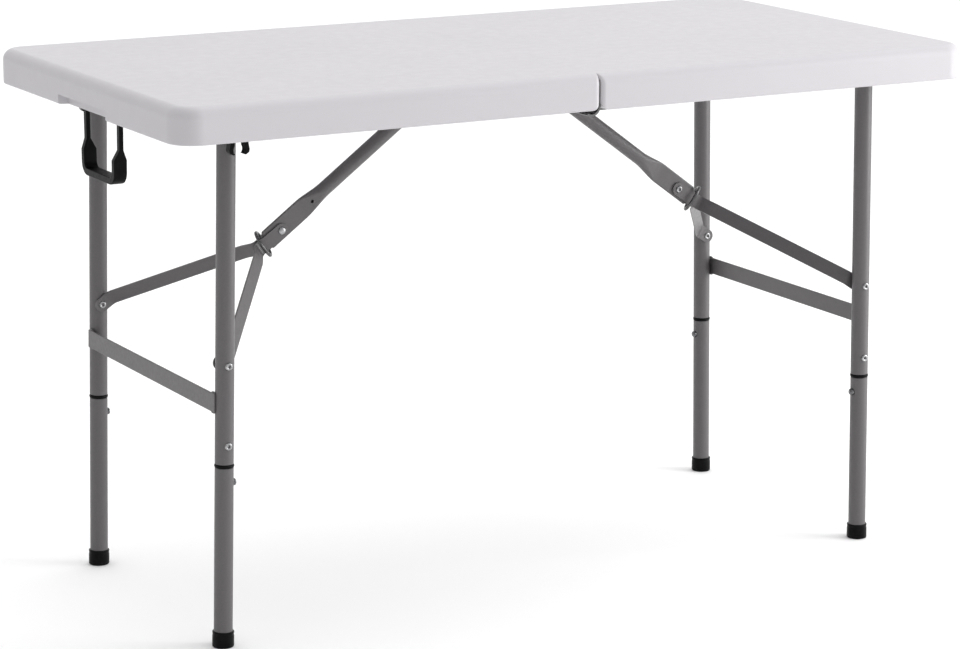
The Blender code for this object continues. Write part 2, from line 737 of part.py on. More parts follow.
def brace_arm(name, sign, material, parent):
    """Bent flat bar along +X: beside the plate, then out to the leg, then along it."""
    beside = PLATE_THICKNESS / 2 + GAP + ARM_THICKNESS / 2
    at_leg = LEG_Y - TUBE_RADIUS - 0.0005 - ARM_THICKNESS / 2
    radius = ARM_WIDTH / 2
    turn = ARM_REACH - 0.016
    path = [(0.0, beside), (0.042, beside), (0.054, 0.024), (turn, at_leg), (ARM_REACH, at_leg)]

    stations = []
    rounding = [math.radians(angle) for angle in (15, 35, 60)]
    for angle in rounding:
        stations.append((-radius * math.cos(angle), beside, radius * math.sin(angle), 0))
    for i, (x, y) in enumerate(path):
        before = path[max(i - 1, 0)]
        after = path[min(i + 1, len(path) - 1)]
        first = math.atan2(y - before[1], x - before[0]) if i else 0.0
        second = math.atan2(after[1] - y, after[0] - x) if i < len(path) - 1 else 0.0
        stations.append((x, y, radius, (first, second)))
    for angle in reversed(rounding):
        end = ARM_REACH + radius * math.cos(angle)
        stations.append((end, at_leg, radius * math.sin(angle), 0))

    sections = []
    for x, y, half, bend in stations:
        first, second = bend if bend else (0.0, 0.0)
        normal = (first + second) / 2 + math.pi / 2
        reach = ARM_THICKNESS / 2 / math.cos((second - first) / 2)
        dx = reach * math.cos(normal)
        dy = reach * math.sin(normal)
        sections.append(
            [
                (x + dx, sign * (y + dy), half),
                (x + dx, sign * (y + dy), -half),
                (x - dx, sign * (y - dy), -half),
                (x - dx, sign * (y - dy), half),
            ]
        )
    item = add_object(name, loft(name, sections), material, parent)
    hole = rod(name + "_hole", ELBOW_HOLE, -0.02, 0.02, "Y", 20)
    boolean(item, make_cutter(name + "_hole_cutter", hole, parent))
    # Head of the leg rivet on the inner face of the bar
    face = at_leg - ARM_THICKNESS / 2
    profile = rivet_profile(-0.001, 0.0, RIVET_HEAD * 0.9, RIVET_HEAD, RIVET_DOME)
    head = lathe(name + "_head", profile, "Y", 20, False)
    turned = Matrix.Rotation(math.pi if sign > 0 else 0.0, 4, "Z")
    place = Matrix.Translation((ARM_REACH, sign * face, 0.0)) @ turned
    boolean(item, make_cutter(name + "_head_shape", head, parent, place), "UNION")
    return item


def elbow_rivet(name, material, parent):
    face = PLATE_THICKNESS / 2 + GAP + ARM_THICKNESS + GAP
    head = rivet_profile(0.0, face, ELBOW_HOLE - GAP, 0.0055, 0.0022)[2:]
    mirrored = [(radius, -height) for radius, height in reversed(head)]
    mesh = lathe(name, mirrored + head, "Y", 20, False)
    place = Matrix.Translation((BRACE_REACH, 0.0, -ELBOW_DROP))
    return add_object(name, mesh, material, parent, place)


def lock_ring(name, material, parent):
    """Closed wire loop round the brace, in the plane across it."""
    curve = bpy.data.curves.new(name, "CURVE")
    curve.dimensions = "3D"
    curve.bevel_depth = RING_WIRE
    curve.bevel_resolution = 2
    straight = RING_HALF_HEIGHT - RING_HALF_WIDTH
    points = arc((0.0, straight), RING_HALF_WIDTH, 0, 180, 10)
    points += arc((0.0, -straight), RING_HALF_WIDTH, 180, 360, 10)
    spline = curve.splines.new("POLY")
    spline.points.add(len(points) - 1)
    for point, (y, z) in zip(spline.points, points):
        point.co = (0.0, y, z, 1.0)
    spline.use_cyclic_u = True
    return add_object(name, curve, material, parent)


# ---------------------------------------------------------------- handle and clip


def handle_outline():
    """Centre line of the bail from its middle to one arm's top, with the width along X."""
    grip_y = 0.0500
    arm_y = 0.0550
    bend = 0.013
    low = HANDLE_BOTTOM + HANDLE_THICKNESS / 2
    stations = [(0.0, low, HANDLE_GRIP_WIDTH, 0.0)]
    for i in range(6):
        angle = math.radians(90 * i / 5)
        y = grip_y - bend + bend * math.sin(angle)
        z = low + bend - bend * math.cos(angle)
        stations.append((y, z, HANDLE_GRIP_WIDTH, angle))
    stations.append((grip_y + 0.0004, 0.629, HANDLE_GRIP_WIDTH, math.pi / 2))
    stations.append((arm_y - 0.0006, 0.643, HANDLE_ARM_WIDTH, math.pi / 2))
    stations.append((arm_y, HANDLE_Z, HANDLE_ARM_WIDTH, math.pi / 2))
    return stations


def handle(name, material, parent):
    """Bail in the frame of its pivot: a wide grip on two narrow arms, with trunnions."""
    half_thickness = HANDLE_THICKNESS / 2
    stations = handle_outline()
    run = [(-y, z, width, -angle) for y, z, width, angle in reversed(stations[1:])] + stations
    sections = []
    for y, z, width, angle in run:
        ny = -math.sin(angle) * half_thickness
        nz = math.cos(angle) * half_thickness
        sections.append(
            [
                (-width / 2, y + ny, z + nz - HANDLE_Z),
                (width / 2, y + ny, z + nz - HANDLE_Z),
                (width / 2, y - ny, z - nz - HANDLE_Z),
                (-width / 2, y - ny, z - nz - HANDLE_Z),
            ]
        )
    item = add_object(name, loft(name, sections), material, parent)
    for sign, label in ((-1, "front"), (1, "rear")):
        low, high = across(sign, 0.055 - half_thickness, 0.055 + half_thickness)
        eye = rod(f"{name}_{label}_eye", 0.0040, low, high, "Y", 20)
        boolean(item, make_cutter(f"{name}_{label}_eye_shape", eye, parent), "UNION")
        low, high = across(sign, 0.055, 0.0665)
        pin = rod(f"{name}_{label}_pin", 0.0027, low, high, "Y", 16)
        boolean(item, make_cutter(f"{name}_{label}_pin_shape", pin, parent), "UNION")
    return item


def handle_bracket(name, material, parent):
    """Bar under the deck with two ears for the handle's trunnions."""
    base = box_mesh(
        name,
        (HANDLE_X - 0.0078, -0.074, HANDLE_Z + 0.0065),
        (HANDLE_X + 0.0078, 0.074, RAIL_TOP),
    )
    item = add_object(name, base, material, parent)
    for sign, label in ((-1, "front"), (1, "rear")):
        low, high = across(sign, 0.0602, 0.0665)
        ear = arc((HANDLE_X, HANDLE_Z), 0.0065, 180, 360, 10)
        ear += [(HANDLE_X + 0.0065, HANDLE_Z + 0.01), (HANDLE_X - 0.0065, HANDLE_Z + 0.01)]
        ear_mesh = prism(f"{name}_{label}_ear", ear, low, high, "XZ")
        boolean(item, make_cutter(f"{name}_{label}_ear_shape", ear_mesh, parent), "UNION")
    hole = rod(name + "_hole", 0.0027 + GAP, -0.09, 0.09, "Y", 16)
    place = Matrix.Translation((HANDLE_X, 0.0, HANDLE_Z))
    boolean(item, make_cutter(name + "_hole_cutter", hole, parent, place))
    return item


def closing_clip(name, material, parent):
    """Two barbed jaws under the pivot tube, which snap over the other half's tube."""
    x = -PIVOT_X
    z = PIVOT_Z
    bore = PIVOT_TUBE_RADIUS + GAP + 0.0004
    throat = 0.0078
    jaw = 0.0055
    mirrored_z = 2 * HINGE_Z - PIVOT_Z
    outer = throat + jaw
    side = [
        (outer, RAIL_TOP),
        (outer, z - 0.006),
        (outer - 0.0015, mirrored_z + 0.012),
        (outer + 0.0008, mirrored_z),
        (outer, CLIP_BOTTOM + 0.003),
        (throat + 0.001, CLIP_BOTTOM),
        (throat - 0.0022, mirrored_z - 0.0055),
    ]
    inner = arc((0.0, mirrored_z), PIVOT_TUBE_RADIUS + 0.0006, -35, 35, 6)
    neck = [(0.0060, z - 0.0130), (0.0, z - 0.0118)]
    half = side + inner + neck
    outline = [(x + a, b) for a, b in half]
    outline += [(x - a, b) for a, b in reversed(half[:-1])]
    mesh = prism(name, outline, CLIP_Y - 0.006, CLIP_Y + 0.006, "XZ")
    item = add_object(name, mesh, material, parent)
    hole = rod(name + "_bore", bore, CLIP_Y - 0.02, CLIP_Y + 0.02, "Y", 24)
    place = Matrix.Translation((x, 0.0, z))
    boolean(item, make_cutter(name + "_bore_cutter", hole, parent, place))
    return item


# ---------------------------------------------------------------- assembly


def build_leg(side, row, materials, leg_frame):
    """One leg. In its own frame -Z runs down the tube, +Y points away from the other leg."""
    name = f"{side}_{row}"
    outward = 1 if (row == "rear") == (side == "right") else -1
    place = Matrix.Translation((0.0, outward * LEG_Y, 0.0))
    if outward < 0:
        place = place @ Matrix.Diagonal((1.0, -1.0, 1.0, 1.0))
    axis = frame(f"{name}_leg_axis", leg_frame, place)
    upper_tube(f"{name}_upper_tube", materials["paint"], axis)
    inner_stub(f"{name}_inner_stub", materials["steel"], axis)
    collar(f"{name}_collar", materials["black"], axis)
    stub_rivet(f"{name}_stub_rivet", materials["zinc"], axis)
    arm_rivet(f"{name}_arm_rivet", materials["zinc"], axis)
    slide = frame(f"{name}_extension_slide", axis, Matrix.Translation(-UP * along_leg(COLLAR_Z)))
    extension_tube(f"{name}_extension_tube", materials["paint"], slide)
    foot_cap(f"{name}_foot_cap", materials["black"], slide)
    button = frame(f"{name}_button_slide", slide, Matrix.Translation(-UP * BUTTON_BELOW))
    snap_button(f"{name}_snap_button", materials["zinc"], button)


def build_end(side, materials, parent, matrix):
    """Leg frame and brace of one end, with +X pointing outwards in the end frame."""
    end = frame(f"{side}_end", parent, matrix)
    lean = Matrix.Rotation(-LEAN, 4, "Y")
    pivot = Matrix.Translation((PIVOT_X, 0.0, PIVOT_Z))
    leg_frame = frame(f"{side}_leg_pivot", end, pivot @ lean)
    pivot_tube(f"{side}_pivot_tube", materials["paint"], leg_frame)
    crossbar(f"{side}_crossbar", materials["paint"], leg_frame)
    for row in ("front", "rear"):
        build_leg(side, row, materials, leg_frame)

    brace_bracket(f"{side}_brace_bracket", materials["steel"], end, Matrix.Identity(4))
    tilt = Matrix.Rotation(BRACE_ANGLE, 4, "Y")
    brace = frame(f"{side}_brace_pivot", end, Matrix.Translation(BRACE_PIVOT) @ tilt)
    brace_tube(f"{side}_brace_tube", materials["paint"], brace)
    elbow_rivet(f"{side}_elbow_rivet", materials["zinc"], brace)
    ring_place = Matrix.Translation((BRACE_REACH + RING_PAST_ELBOW, 0.0, 0.0))
    ring = frame(f"{side}_ring_slide", brace, ring_place)
    lock_ring(f"{side}_lock_ring", materials["zinc"], ring)
    arm_turn = Matrix.Rotation(ARM_ANGLE - BRACE_ANGLE, 4, "Y")
    elbow_place = Matrix.Translation((BRACE_REACH, 0.0, -ELBOW_DROP)) @ arm_turn
    elbow = frame(f"{side}_elbow_pivot", brace, elbow_place)
    for row, outward in (("front", -1), ("rear", 1)):
        sign = outward if side == "right" else -outward
        brace_arm(f"{side}_{row}_brace_arm", sign, materials["paint"], elbow)


def main():
    clear_scene()
    materials = {
        "plastic": make_material("moulded_plastic", (0.72, 0.70, 0.74), 0.45, 0.0),
        "paint": make_material("grey_paint", (0.13, 0.13, 0.135), 0.42, 0.2),
        "steel": make_material("plain_steel", (0.30, 0.30, 0.31), 0.40, 0.9),
        "zinc": make_material("plated_steel", (0.62, 0.62, 0.62), 0.28, 1.0),
        "black": make_material("black_plastic", (0.012, 0.012, 0.013), 0.38, 0.0),
    }
    turned = Matrix.Rotation(math.pi, 4, "Z")
    hinge = Vector((HINGE_X, 0.0, HINGE_Z))
    moving = frame("centre_hinge", None, Matrix.Translation(hinge))
    moved = Matrix.Translation(-hinge)
    top_half("top_half_left", "left", materials["plastic"], None, turned)
    top_half("top_half_right", "right", materials["plastic"], moving, moved)
    for sign, row in ((-1, "front"), (1, "rear")):
        left_rail(f"side_rail_left_{row}", sign, materials["steel"], None)
        right_rail(f"side_rail_right_{row}", sign, materials["steel"], moving, hinge)
        hinge_pin(f"hinge_pin_{row}", sign, materials["zinc"], None)
    build_end("left", materials, None, turned)
    build_end("right", materials, moving, moved)
    handle_axis = frame("handle_pivot", None, Matrix.Translation((HANDLE_X, 0.0, HANDLE_Z)))
    handle("carry_handle", materials["black"], handle_axis)
    handle_bracket("handle_bracket", materials["steel"], None)
    closing_clip("closing_clip", materials["black"], None)


main()
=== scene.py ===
"""Looks of the centre-folding table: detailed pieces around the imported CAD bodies.

Each end of the table is the same assembly turned half a turn about Z, so its pieces are shaped
once in an end frame whose +X points outwards. Key positions come from the record's joints and
from the boxes of the CAD nodes.
"""

import json
import math

import bmesh
import bpy
from mathutils import Matrix, Vector


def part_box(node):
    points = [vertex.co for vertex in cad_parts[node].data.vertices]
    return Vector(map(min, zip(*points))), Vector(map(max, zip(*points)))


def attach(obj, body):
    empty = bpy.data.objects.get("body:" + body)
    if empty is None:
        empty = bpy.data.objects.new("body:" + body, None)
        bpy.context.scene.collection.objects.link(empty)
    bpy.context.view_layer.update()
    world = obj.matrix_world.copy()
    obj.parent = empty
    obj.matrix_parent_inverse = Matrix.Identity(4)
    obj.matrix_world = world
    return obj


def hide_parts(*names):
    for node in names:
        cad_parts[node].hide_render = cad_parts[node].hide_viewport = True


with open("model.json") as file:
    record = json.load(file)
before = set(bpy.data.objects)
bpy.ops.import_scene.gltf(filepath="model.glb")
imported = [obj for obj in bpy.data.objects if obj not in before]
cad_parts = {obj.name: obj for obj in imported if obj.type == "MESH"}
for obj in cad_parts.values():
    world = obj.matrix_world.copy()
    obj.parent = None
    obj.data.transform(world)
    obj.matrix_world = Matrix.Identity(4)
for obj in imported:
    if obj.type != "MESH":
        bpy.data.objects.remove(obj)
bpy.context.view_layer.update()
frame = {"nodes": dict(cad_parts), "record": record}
JOINTS = {joint["name"]: joint for joint in frame["record"]["behaviour"]["joints"]}

GAP = 0.0003
UP = Vector((0.0, 0.0, 1.0))
TURNED = Matrix.Rotation(math.pi, 4, "Z")
MIRROR_Y = Matrix.Diagonal((1.0, -1.0, 1.0, 1.0))


def joint_point(name):
    return Vector(JOINTS[name]["pos_m"])


def box_size(node):
    low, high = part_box(node)
    return high - low


# ---------------------------------------------------------------- dimensions read from the frame

TOP_LOW, TOP_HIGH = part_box("top_half_right")
HALF_WIDTH = TOP_HIGH.y
HALF_LENGTH = TOP_HIGH.x
HEIGHT = TOP_HIGH.z
SKIRT = TOP_LOW.z
PIVOT = joint_point("right_leg_fold")
BRACE_PIVOT = joint_point("right_brace_turn")
ELBOW = joint_point("right_elbow_turn")
LEG_UP = Vector(JOINTS["right_front_extension_slide"]["axis"]).normalized()
LEAN = math.atan2(-LEG_UP.x, LEG_UP.z)
LEG_Y = sum(c.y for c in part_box("right_rear_upper_tube")) / 2
TUBE_RADIUS = box_size("right_rear_upper_tube").y / 2
STUB_RADIUS = box_size("right_rear_inner_stub").y / 2
COLLAR_RADIUS = box_size("right_rear_collar").y / 2
FOOT_RADIUS = box_size("right_rear_foot_cap").y / 2
PIVOT_TUBE_RADIUS = box_size("right_pivot_tube").z / 2
PIVOT_TUBE_HALF = box_size("right_pivot_tube").y / 2
HANDLE = joint_point("handle_swing")
HINGE = joint_point("centre_fold")

# ---------------------------------------------------------------- dimensions of the details

# Cutting shapes stand PAST the surface that they cut.
PAST = 0.01

# Moulded top. Each half starts SEAM from the middle of the table.
SEAM = 0.00006
CORNER_RADIUS = 0.036
SEAM_SIDE_CORNER = 0.008
SEAM_CORNER = 0.0125
SEAM_RECESS = 0.0013
STRAP_RECESS_INNER = 0.2625
STRAP_RECESS_TOP = 0.7275
DECK_BOTTOM = 0.721
RIM = 0.022
POCKET_CORNER = 0.018
FOOT_EDGE = 0.0025
EDGE_DROP = 0.0155
EDGE_INSET = 0.0150
CHANNEL_START = 0.020
CHANNEL_END = 0.4524
CHANNEL_HALF = 0.032
CHANNEL_DEPTH = 0.005
NOTCH_HALF = 0.0795
NOTCH_INNER_HALF = 0.0745
NOTCH_DEPTH = 0.013
NOTCH_HEIGHT = 0.013
DIMPLE_FIRST_X = 0.048
DIMPLE_FIRST_Y = 0.064
DIMPLE_PITCH = 0.042

# Legs. Heights end in _Z; BELOW and ABOVE are measured along the leg from the collar.
TUBE_WALL = 0.0012
PIVOT_END = 0.0130
PIVOT_BORE = 0.0083
COLLAR_Z = 0.246
COLLAR_HEIGHT = 0.0044
STUB_ABOVE = 0.070
STUB_BELOW = 0.075
STUB_RIVET_ABOVE = 0.0277
BUTTON_BELOW = 0.0238
BUTTON_RADIUS = 0.0050
BUTTON_FACE = 0.0167
BUTTON_HOLE = 0.0053
BUTTON_DOME = 0.0030
BUTTON_FLANGE = 0.0058
RIVET_HOLE = 0.0031
RIVET_SHANK = 0.0028
RIVET_HEAD = 0.0052
RIVET_DOME = 0.0019
ARM_PIVOT_Z = 0.380
CROSSBAR_Z = 0.330
CROSSBAR_HEIGHT = 0.025
BAR_THICKNESS = 0.0025
FOOT_HEIGHT = 0.021
FOOT_SEAT = 0.004

# Brace linkage. The brace's own places are measured along it from the elbow.
BRACE_RADIUS = 0.010
FLATTEN_START = 0.085
FLATTEN_LENGTH = 0.045
VENT_BEFORE_ELBOW = 0.059
VENT_RADIUS = 0.0024
PLATE_WIDTH = 0.030
PLATE_THICKNESS = 0.004
TONGUE_WIDTH = 0.018
ELBOW_DROP = 0.002
ARM_WIDTH = 0.020
ELBOW_HOLE = 0.0043
RING_PAST_ELBOW = 0.031
RING_WIRE = 0.00225
RING_HALF_WIDTH = 0.0141
RING_HALF_HEIGHT = 0.0187
RING_TILT = -25


def leg_x(height):
    return PIVOT.x + math.tan(LEAN) * (PIVOT.z - height)


def along_leg(height):
    """Distance down the leg from its pivot to a height above the floor."""
    return (PIVOT.z - height) / math.cos(LEAN)


COLLAR_DOWN = along_leg(COLLAR_Z)
ARM_PIVOT = Vector((leg_x(ARM_PIVOT_Z), 0.0, ARM_PIVOT_Z))
ELBOW_RUN = ELBOW - BRACE_PIVOT
BRACE_ANGLE = math.atan2(-ELBOW_RUN.z, ELBOW_RUN.x) - math.asin(ELBOW_DROP / ELBOW_RUN.length)
BRACE_REACH = math.sqrt(ELBOW_RUN.length_squared - ELBOW_DROP**2)
ARM_ANGLE = math.atan2(ELBOW.z - ARM_PIVOT.z, ARM_PIVOT.x - ELBOW.x)
ARM_REACH = (ARM_PIVOT - ELBOW).length


# ---------------------------------------------------------------- materials


class Nodes:
    """Short-hand for building a Principled material's node tree."""

    def __init__(self, name, colour, roughness, metallic=0.0, **sockets):
        self.material = bpy.data.materials.new(name)
        self.material.use_nodes = True
        self.tree = self.material.node_tree
        self.shader = self.tree.nodes["Principled BSDF"]
        self.shader.inputs["Base Color"].default_value = (*colour, 1.0)
        self.shader.inputs["Roughness"].default_value = roughness
        self.shader.inputs["Metallic"].default_value = metallic
        for socket, value in sockets.items():
            self.shader.inputs[socket.replace("_", " ")].default_value = value
        self.coords = self.tree.nodes.new("ShaderNodeTexCoord").outputs["Object"]

    def noise(self, scale, detail=2.0, roughness=0.5, stretch=None):
        source = self.coords
        if stretch:
            mapping = self.tree.nodes.new("ShaderNodeMapping")
            mapping.inputs["Scale"].default_value = stretch
            self.tree.links.new(source, mapping.inputs["Vector"])
            source = mapping.outputs["Vector"]
        node = self.tree.nodes.new("ShaderNodeTexNoise")
        node.inputs["Scale"].default_value = scale
        node.inputs["Detail"].default_value = detail
        node.inputs["Roughness"].default_value = roughness
        self.tree.links.new(source, node.inputs["Vector"])
        return node.outputs["Fac"]

    def cells(self, scale, randomness=1.0):
        node = self.tree.nodes.new("ShaderNodeTexVoronoi")
        node.feature = "SMOOTH_F1"
        node.inputs["Scale"].default_value = scale
        node.inputs["Smoothness"].default_value = 0.6
        node.inputs["Randomness"].default_value = randomness
        self.tree.links.new(self.coords, node.inputs["Vector"])
        return node.outputs["Distance"]

    def ramp(self, factor, stops):
        node = self.tree.nodes.new("ShaderNodeValToRGB")
        ramp = node.color_ramp
        while len(ramp.elements) < len(stops):
            ramp.elements.new(0.5)
        for element, (position, colour) in zip(ramp.elements, stops):
            element.position = position
            element.color = (*colour, 1.0)
        self.tree.links.new(factor, node.inputs["Fac"])
        return node.outputs["Color"]

    def spread(self, factor, low, high):
        node = self.tree.nodes.new("ShaderNodeMapRange")
        node.inputs["From Min"].default_value = 0.3
        node.inputs["From Max"].default_value = 0.7
        node.inputs["To Min"].default_value = low
        node.inputs["To Max"].default_value = high
        self.tree.links.new(factor, node.inputs["Value"])
        return node.outputs["Result"]

    def bump(self, height, distance, strength=1.0, normal=None):
        node = self.tree.nodes.new("ShaderNodeBump")
        node.inputs["Distance"].default_value = distance
        node.inputs["Strength"].default_value = strength
        self.tree.links.new(height, node.inputs["Height"])
        if normal is not None:
            self.tree.links.new(normal, node.inputs["Normal"])
        return node.outputs["Normal"]

    def drive(self, socket, output):
        self.tree.links.new(output, self.shader.inputs[socket])


def shades(colour, amount):
    """Darker and lighter neighbours of a colour."""
    dark = tuple(c * (1 - amount) for c in colour)
    light = tuple(min(1.0, c * (1 + amount)) for c in colour)
    return dark, light


def moulded_plastic():
    """Pale moulded plastic with a fine pebbled skin and faint waves."""
    colour = (0.498, 0.484, 0.506)
    nodes = Nodes("moulded_plastic", colour, 0.42, Specular_IOR_Level=0.40)
    dark, light = shades(colour, 0.010)
    nodes.drive("Base Color", nodes.ramp(nodes.noise(7.0, 3.0), [(0.35, dark), (0.65, light)]))
    nodes.drive("Roughness", nodes.spread(nodes.noise(60.0, 2.0), 0.40, 0.50))
    waves = nodes.bump(nodes.noise(5.0, 1.0), 0.0004, 0.15)
    nodes.drive("Normal", nodes.bump(nodes.cells(620.0), 0.00015, 0.25, waves))
    return nodes.material


def grey_paint():
    """Grey paint on the tubes and bars, slightly mottled, with a fine orange-peel skin."""
    colour = (0.1000, 0.0945, 0.0968)
    nodes = Nodes("grey_paint", colour, 0.38, Specular_IOR_Level=0.50)
    dark, light = shades(colour, 0.05)
    nodes.drive("Base Color", nodes.ramp(nodes.noise(420.0, 3.0, 0.6), [(0.35, dark), (0.7, light)]))
    nodes.drive("Roughness", nodes.spread(nodes.noise(180.0, 2.0), 0.36, 0.48))
    nodes.drive("Normal", nodes.bump(nodes.noise(750.0, 2.0, 0.55), 0.00010, 0.4))
    return nodes.material


def plain_steel():
    """Bare steel, brushed along X, its colour darkened as painted shade so the straps deep in the seam's
    gap look dark.
    """
    # Painted shade: darker than bare steel, so the steel in the seam's gap looks shaded.
    colour = (0.120, 0.118, 0.121)
    nodes = Nodes("plain_steel", colour, 0.40, 0.75)
    dark, light = shades(colour, 0.14)
    brushed = nodes.noise(900.0, 2.0, 0.6, (0.04, 1.0, 1.0))
    nodes.drive("Base Color", nodes.ramp(nodes.noise(90.0, 4.0), [(0.35, dark), (0.7, light)]))
    nodes.drive("Roughness", nodes.spread(brushed, 0.32, 0.50))
    nodes.drive("Normal", nodes.bump(brushed, 0.00005, 0.5))
    return nodes.material


def plated_steel():
    """Plating of the rivets and screws."""
    colour = (0.360, 0.360, 0.368)
    nodes = Nodes("plated_steel", colour, 0.26, 1.0)
    dark, light = shades(colour, 0.12)
    nodes.drive("Base Color", nodes.ramp(nodes.noise(260.0, 3.0), [(0.35, dark), (0.7, light)]))
    nodes.drive("Roughness", nodes.spread(nodes.noise(500.0, 2.0), 0.18, 0.34))
    nodes.drive("Normal", nodes.bump(nodes.noise(1400.0, 1.0), 0.00004, 0.5))
    return nodes.material


def dark_wire():
    """Dark wire of the lock rings."""
    colour = (0.110, 0.108, 0.110)
    nodes = Nodes("ring_steel", colour, 0.28, 0.8)
    dark, light = shades(colour, 0.25)
    nodes.drive("Base Color", nodes.ramp(nodes.noise(300.0, 3.0), [(0.35, dark), (0.7, light)]))
    nodes.drive("Roughness", nodes.spread(nodes.noise(700.0, 2.0), 0.22, 0.38))
    return nodes.material


def shaded_button_steel():
    """Plating of the snap buttons, darkened as painted shade and painted dark reflection, because the
    buttons face away from the light.
    """
    colour = (0.150, 0.150, 0.155)
    nodes = Nodes("shaded_button_steel", colour, 0.22, 1.0)
    dark, light = shades(colour, 0.30)
    nodes.drive("Base Color", nodes.ramp(nodes.noise(420.0, 3.0), [(0.35, dark), (0.7, light)]))
    nodes.drive("Roughness", nodes.spread(nodes.noise(700.0, 2.0), 0.16, 0.30))
    nodes.drive("Normal", nodes.bump(nodes.noise(1400.0, 1.0), 0.00003, 0.5))
    return nodes.material


def black_plastic():
    """Matt black plastic with a fine grain."""
    colour = (0.0022, 0.0022, 0.0025)
    nodes = Nodes("black_plastic", colour, 0.42, Specular_IOR_Level=0.09)
    dark, light = shades(colour, 0.30)
    nodes.drive("Base Color", nodes.ramp(nodes.noise(55.0, 2.0), [(0.35, dark), (0.65, light)]))
    nodes.drive("Roughness", nodes.spread(nodes.noise(240.0, 2.0), 0.32, 0.46))
    nodes.drive("Normal", nodes.bump(nodes.noise(1100.0, 2.0), 0.00006, 0.5))
    return nodes.material


MATERIALS = {
    "moulded_plastic": moulded_plastic(),
    "grey_paint": grey_paint(),
    "plain_steel": plain_steel(),
    "plated_steel": plated_steel(),
    "ring_steel": dark_wire(),
    "shaded_button_steel": shaded_button_steel(),
    "black_plastic": black_plastic(),
}


# ---------------------------------------------------------------- mesh helpers


def arc(centre, radius, start, end, steps):
    """Points along an arc, with angles in degrees."""
    angles = [math.radians(start + (end - start) * i / steps) for i in range(steps + 1)]
    return [(centre[0] + radius * math.cos(a), centre[1] + radius * math.sin(a)) for a in angles]


def add_lathe(shape, profile, axis="Z", steps=48, matrix=None):
    """Turn (radius, height) points about Z, or lay them along X or Y."""
    turn = {
        "Z": Matrix.Identity(4),
        "X": Matrix.Rotation(math.pi / 2, 4, "Y"),
        "Y": Matrix.Rotation(-math.pi / 2, 4, "X"),
    }[axis]
    place = (matrix or Matrix.Identity(4)) @ turn
    rings = []
    for radius, height in profile:
        if radius < 1e-7:
            rings.append([shape.verts.new(place @ Vector((0.0, 0.0, height)))])
            continue
        ring = []
        for i in range(steps):
            angle = 2 * math.pi * i / steps
            point = Vector((radius * math.cos(angle), radius * math.sin(angle), height))
            ring.append(shape.verts.new(place @ point))
        rings.append(ring)
    pairs = list(zip(rings, rings[1:]))
    if len(rings[0]) > 1 and len(rings[-1]) > 1:
        pairs.append((rings[-1], rings[0]))
    for first, second in pairs:
        for i in range(steps):
            j = (i + 1) % steps
            if len(first) == 1:
                shape.faces.new((first[0], second[j], second[i]))
            elif len(second) == 1:
                shape.faces.new((first[i], first[j], second[0]))
            else:
                shape.faces.new((first[i], first[j], second[j], second[i]))


def loft(sections):
    """Skin equal-length point loops and cap both ends."""
    shape = bmesh.new()
    loops = [[shape.verts.new(Vector(point)) for point in section] for section in sections]
    count = len(loops[0])
    for first, second in zip(loops, loops[1:]):
        for i in range(count):
            j = (i + 1) % count
            shape.faces.new((first[i], first[j], second[j], second[i]))
    shape.faces.new(loops[0])
    shape.faces.new(loops[-1])
    return shape


def prism(outline, low, high, plane="XY"):
    """Extrude an outline. XY extrudes along Z, XZ along Y and YZ along X."""
    lay = {
        "XY": lambda a, b, c: (a, b, c),
        "XZ": lambda a, b, c: (a, c, b),
        "YZ": lambda a, b, c: (c, a, b),
    }[plane]
    return loft([[lay(a, b, c) for a, b in outline] for c in (low, high)])


def block(low, high):
    outline = [(low[0], low[1]), (high[0], low[1]), (high[0], high[1]), (low[0], high[1])]
    return prism(outline, low[2], high[2])


def lathe(profile, axis="Z", steps=48):
    shape = bmesh.new()
    add_lathe(shape, profile, axis, steps)
    return shape


def tube(outer, inner, low, high, axis="Z", steps=48, edge=0.0004):
    """A pipe whose rims are slightly rounded."""
    return lathe(
        [
            (inner, low),
            (outer - edge, low),
            (outer, low + edge),
            (outer, high - edge),
            (outer - edge, high),
            (inner, high),
        ],
        axis,
        steps,
    )


def rod(radius, low, high, axis, steps):
    """Plain round bar, for drilling holes and for pins."""
    return lathe([(0, low), (radius, low), (radius, high), (0, high)], axis, steps)


def to_object(name, shape, matrix, material=None):
    """Bake the placing matrix into the mesh, so that textures keep one scale everywhere."""
    bmesh.ops.transform(shape, matrix=matrix, verts=shape.verts[:])
    bmesh.ops.recalc_face_normals(shape, faces=shape.faces[:])
    mesh = bpy.data.meshes.new(name)
    shape.to_mesh(mesh)
    shape.free()
    item = bpy.data.objects.new(name, mesh)
    bpy.context.scene.collection.objects.link(item)
    if material:
        mesh.materials.append(material)
    return item


def apply_modifiers(item):
    bpy.context.view_layer.update()
    graph = bpy.context.evaluated_depsgraph_get()
    mesh = bpy.data.meshes.new_from_object(item.evaluated_get(graph))
    item.modifiers.clear()
    old = item.data
    item.data = mesh
    mesh.name = old.name
    bpy.data.meshes.remove(old)


def carve(item, shape, matrix, operation="DIFFERENCE"):
    """Cut a shape out of a piece, or weld it on, and drop the helper."""
    cutter = to_object(item.name + "_tool", shape, matrix)
    modifier = item.modifiers.new("carve", "BOOLEAN")
    modifier.operation = operation
    modifier.solver = "EXACT"
    modifier.object = cutter
    apply_modifiers(item)
    data = cutter.data
    bpy.data.objects.remove(cutter, do_unlink=True)
    bpy.data.meshes.remove(data)


def soften(item, width, segments=2, angle=30):
    """Round every edge sharper than the angle."""
    modifier = item.modifiers.new("soften", "BEVEL")
    modifier.width = width
    modifier.segments = segments
    modifier.limit_method = "ANGLE"
    modifier.angle_limit = math.radians(angle)
    modifier.use_clamp_overlap = True
    apply_modifiers(item)


